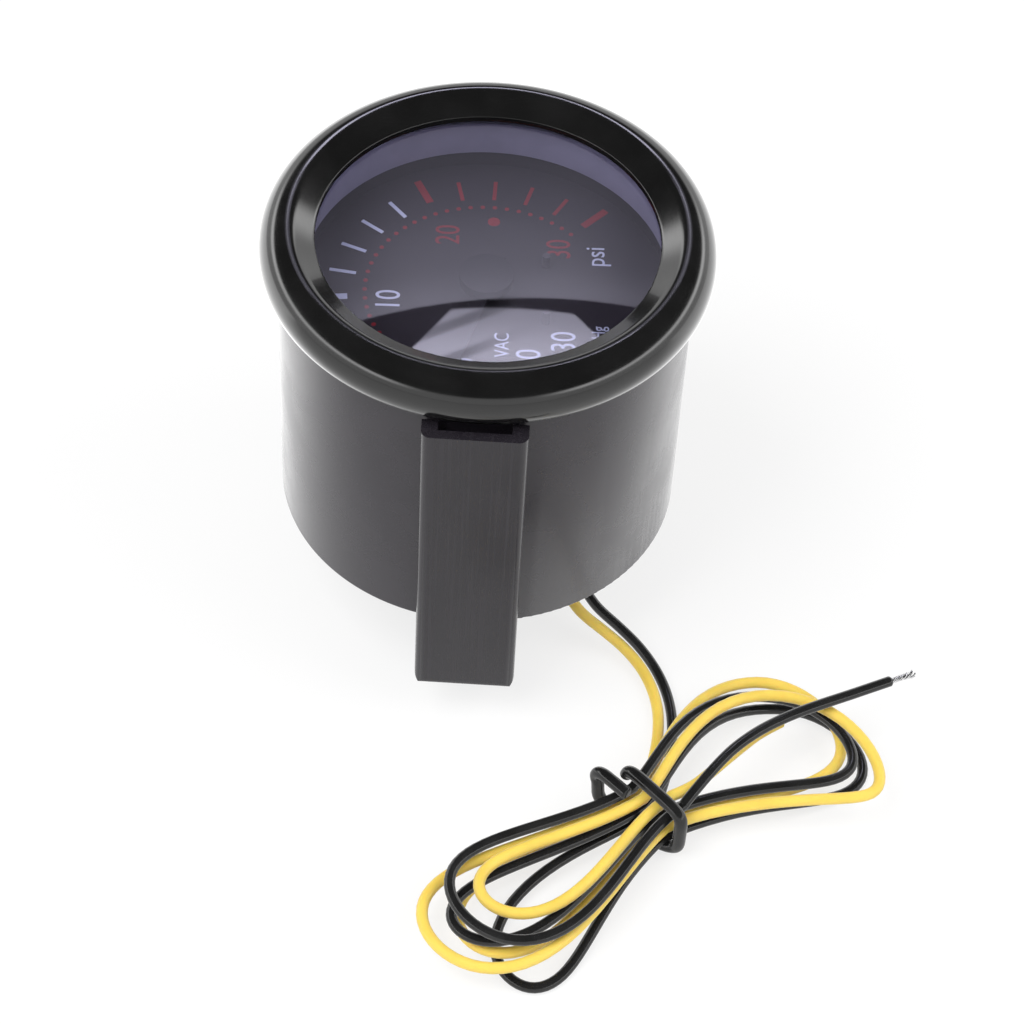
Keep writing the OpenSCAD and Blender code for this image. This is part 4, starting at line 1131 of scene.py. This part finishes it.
@dataclass(frozen=True)
class Camera:
    """The photograph's point of view, in metres."""

    place: Triple = (0.00492, -0.27932, 0.3342)
    right: Triple = (0.9982, 0.0456, 0.0391)
    up: Triple = (-0.0601, 0.7583, 0.6491)
    lens_mm: float = 111.32
    sensor_mm: float = 36.0
    nearest: float = 0.01

    def build(self) -> None:
        """Makes the camera, which looks square to its right and up."""
        right = unit(np.array(self.right))
        back = unit(np.cross(right, np.array(self.up)))
        data = bpy.data.cameras.new("photo_view")
        data.lens, data.sensor_width, data.clip_start = self.lens_mm, self.sensor_mm, self.nearest
        made = bpy.data.objects.new("photo_view", data)
        stand(made, right, back, self.place)
        bpy.context.scene.camera = made


@dataclass(frozen=True)
class Card:
    """A card over the far side that only gloss shows: a graded panel, a dark gap and a bright domed lamp.

    Its place and reach are in metres and the rest in millimetres. The panel ends at a shallow parabola. The
    lamp starts at a second one, between two slanted sides, and slanted bands of shade cross it. A parabola
    is given by its middle, its height there and its rise with the distance squared, and a side by its place
    and its slant. The panel loses light away from its end, close by and further off, and towards its sides.
    The lamp gains light as far as its depth.
    """

    place: Triple = (-0.006, 0.3562, 0.4106)
    back: Triple = (-0.012, 0.7125, 0.7016)
    tint: Colour = (0.82, 0.8, 1.0)
    reach: tuple[float, float, float, float] = (-0.12, -0.06, 0.12, 0.07)
    panel_end: Triple = (20.0, 15.4, 0.0029)
    lamp_start: Triple = (9.0, 18.0, 0.003)
    lamp_left: Triple = (-12.0, 21.3, 0.917)
    lamp_right: Triple = (25.0, 18.8, 1.167)
    panel_light: Triple = (3.2, 0.9, 1.4)
    panel_fade: Pair = (12.0, 45.0)
    panel_sides: Triple = (15.0, 45.0, 0.4)
    lamp_light: Triple = (5.0, 4.0, 14.0)
    soft_edge: Triple = (0.7, 0.9, 1.2)
    band_slope: Pair = (0.5, 1.2)
    band_start: float = 21.0
    band_pace: float = 0.55
    band_fade: Triple = (0.4, 4.0, 26.0)
    band_depth: float = 0.5
    gap_light: float = 0.05

    @staticmethod
    def parabola(x: Number, middle: float, height: float, rise: float) -> Number:
        """A parabola's height at x."""
        return (x - middle) * (x - middle) * rise + height

    def glow(self, x: Number, y: Number) -> Number:
        """How bright the card is.

        Args:
            x: The place along the card.
            y: The place up the card.

        Returns:
            The strength of its light.
        """
        light, near, far = self.panel_light
        over = self.parabola(x, *self.panel_end) - y
        panel = light - over.ease(0.0, self.panel_fade[0]) * near - over.ease(0.0, self.panel_fade[1]) * far
        start, end, loss = self.panel_sides
        panel = panel * over.ease(0.0, self.soft_edge[0]) * (1.0 - (x * x).ease(start**2, end**2) * loss)
        along, up = self.band_slope
        shade = ((x * along + y * up - self.band_start) * self.band_pace).sine().ease(0.1, 1.0)
        up, start, end = self.band_fade
        shade = shade * (1.0 - (x + y * up).ease(start, end))
        light, gain, depth = self.lamp_light
        under = y - self.parabola(x, *self.lamp_start)
        lamp = (under.ease(0.0, depth) * gain + light) * (1.0 - shade * self.band_depth)
        lamp = lamp * under.ease(0.0, self.soft_edge[1])
        (place, height, slant), (end, end_height, end_slant) = self.lamp_left, self.lamp_right
        lamp = lamp * (x - place + (y - height) * slant).ease(0.0, self.soft_edge[2])
        lamp = lamp * (end - x + (y - end_height) * end_slant).ease(0.0, self.soft_edge[2])
        return panel + lamp + self.gap_light

    def build(self) -> None:
        """Makes the card, which lights nothing and shows to neither the camera nor glass."""
        mesh = bpy.data.meshes.new("gloss_card")
        left, low, right, high = self.reach
        corners = [(left, low, 0.0), (right, low, 0.0), (right, high, 0.0), (left, high, 0.0)]
        mesh.from_pydata(corners, [], [(0, 1, 2, 3)])
        material = bpy.data.materials.new("card_glow")
        graph = Graph(material)
        light = {"Color": self.tint, "Strength": self.glow(*graph.flat_mm())}
        graph.show(graph.add("ShaderNodeEmission", light))
        mesh.materials.append(material)
        made = bpy.data.objects.new("gloss_card", mesh)
        made.visible_camera = made.visible_diffuse = made.visible_shadow = made.visible_transmission = False
        back = np.array(self.back)
        across = unit(np.array([back[1], -back[0], 0.0]))
        stand(made, across, -back, self.place)


@dataclass(frozen=True)
class Studio:
    """A plain pale floor, soft light from above and the surroundings that gloss mirrors.

    A pair of numbers says where something starts to show and where it shows in full: places on the floor
    in millimetres, or heights and sidewards shares of a direction.
    """

    floor_size: float = 6.0
    ahead: Pair = (-60.0, 25.0)
    aside: Pair = (10.0, 45.0)
    overhead: Pair = (0.3, 0.42)
    strip_low: Pair = (0.2, 0.3)
    strip_high: Pair = (0.34, 0.42)
    strip_aside: Pair = (0.1, 0.5)
    strip_light: float = 3.0
    overhead_loss: float = 0.96
    soft_light: float = 0.55
    shown_floor: float = 0.75
    far_light: Pair = (1.8, 0.7)
    near_loss: float = 0.2
    floor_colour: Colour = (0.9, 0.9, 0.9)
    aim: Triple = (0.0, 0.0, 0.04)

    def build(self) -> None:
        """Makes the floor, the world, the lamps and the card."""
        bpy.context.scene.view_settings.view_transform = "Standard"
        self.floor()
        self.world()
        self.lamp("key_lamp", (-0.35, -0.25, 0.7), 0.5, 5.0)
        self.lamp("fill_lamp", (0.5, -0.1, 0.5), 0.5, 2.0)
        Card().build()

    def floor(self) -> None:
        """A pale floor that shows near white and keeps part of the shadow.

        Gloss sees its far side brighter than its near side, and less so to the right.
        """
        bpy.ops.mesh.primitive_plane_add(size=self.floor_size, location=(0.0, 0.0, 0.0))
        plane = bpy.context.object
        plane.name = "floor"
        material = bpy.data.materials.new("floor_white")
        graph = Graph(material)
        x, y = graph.flat_mm()
        light, loss = self.far_light
        far = y.ease(*self.ahead) ** 2.0 * (light - x.ease(*self.aside) * loss)
        level = graph.ray("Glossy") * (far - self.near_loss) + 1.0
        matt = graph.add("ShaderNodeBsdfDiffuse", {"Color": self.floor_colour})
        glow = graph.add("ShaderNodeEmission", {"Color": (1.0, 1.0, 1.0), "Strength": level})
        seen = graph.ray("Camera").most(graph.ray("Glossy")).most(graph.ray("Transmission"))
        graph.show(graph.blend(seen * self.shown_floor, matt, glow))
        plane.data.materials.append(material)

    def world(self) -> None:
        """White to the eye and even for soft light.

        For gloss it is dark overhead, with a bright strip at each side.
        """
        world = bpy.context.scene.world or bpy.data.worlds.new("studio")
        bpy.context.scene.world = world
        graph = Graph(world)
        gloss, camera = graph.ray("Glossy"), graph.ray("Camera")
        sidewards, _, height = graph.axes(graph.add("ShaderNodeTexCoord").outputs["Generated"])
        strip = height.ease(*self.strip_low) * (1.0 - height.ease(*self.strip_high))
        strip = strip * (sidewards**2.0).ease(*self.strip_aside) * self.strip_light
        mirrored = 1.0 - height.ease(*self.overhead) * self.overhead_loss + strip
        level = camera + gloss * mirrored + (1.0 - camera.most(gloss)) * self.soft_light
        back = graph.add("ShaderNodeBackground", {"Color": (1.0, 1.0, 1.0), "Strength": level})
        graph.add("ShaderNodeOutputWorld", {"Surface": back.outputs[0]})

    def lamp(self, name: str, place: Triple, size: float, watts: float) -> None:
        """A square soft lamp that faces the gauge.

        Args:
            name: Its name.
            place: Its middle, in metres.
            size: Its side.
            watts: Its power.
        """
        data = bpy.data.lights.new(name, "AREA")
        data.size, data.energy = size, watts
        made = bpy.data.objects.new(name, data)
        back = unit(np.array(place) - np.array(self.aim))
        right = unit(np.cross(np.array([0.0, 0.0, 1.0]), back))
        made.visible_glossy = False
        stand(made, right, back, place)


def main() -> None:
    """Builds the scene: the camera and the cords first, then the gauge from the front to the back."""
    logging.basicConfig(level=logging.INFO, format="%(name)s: %(message)s")
    Camera().build()
    Wiring().build()
    Front().build()
    Print().build()
    Back().build()
    for finish, nodes in PLAIN_NODES:
        for node in nodes.split():
            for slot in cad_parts[node].material_slots:
                slot.link = "OBJECT"
                slot.material = finish.material()
    Studio().build()


if __name__ == "__main__":
    main()
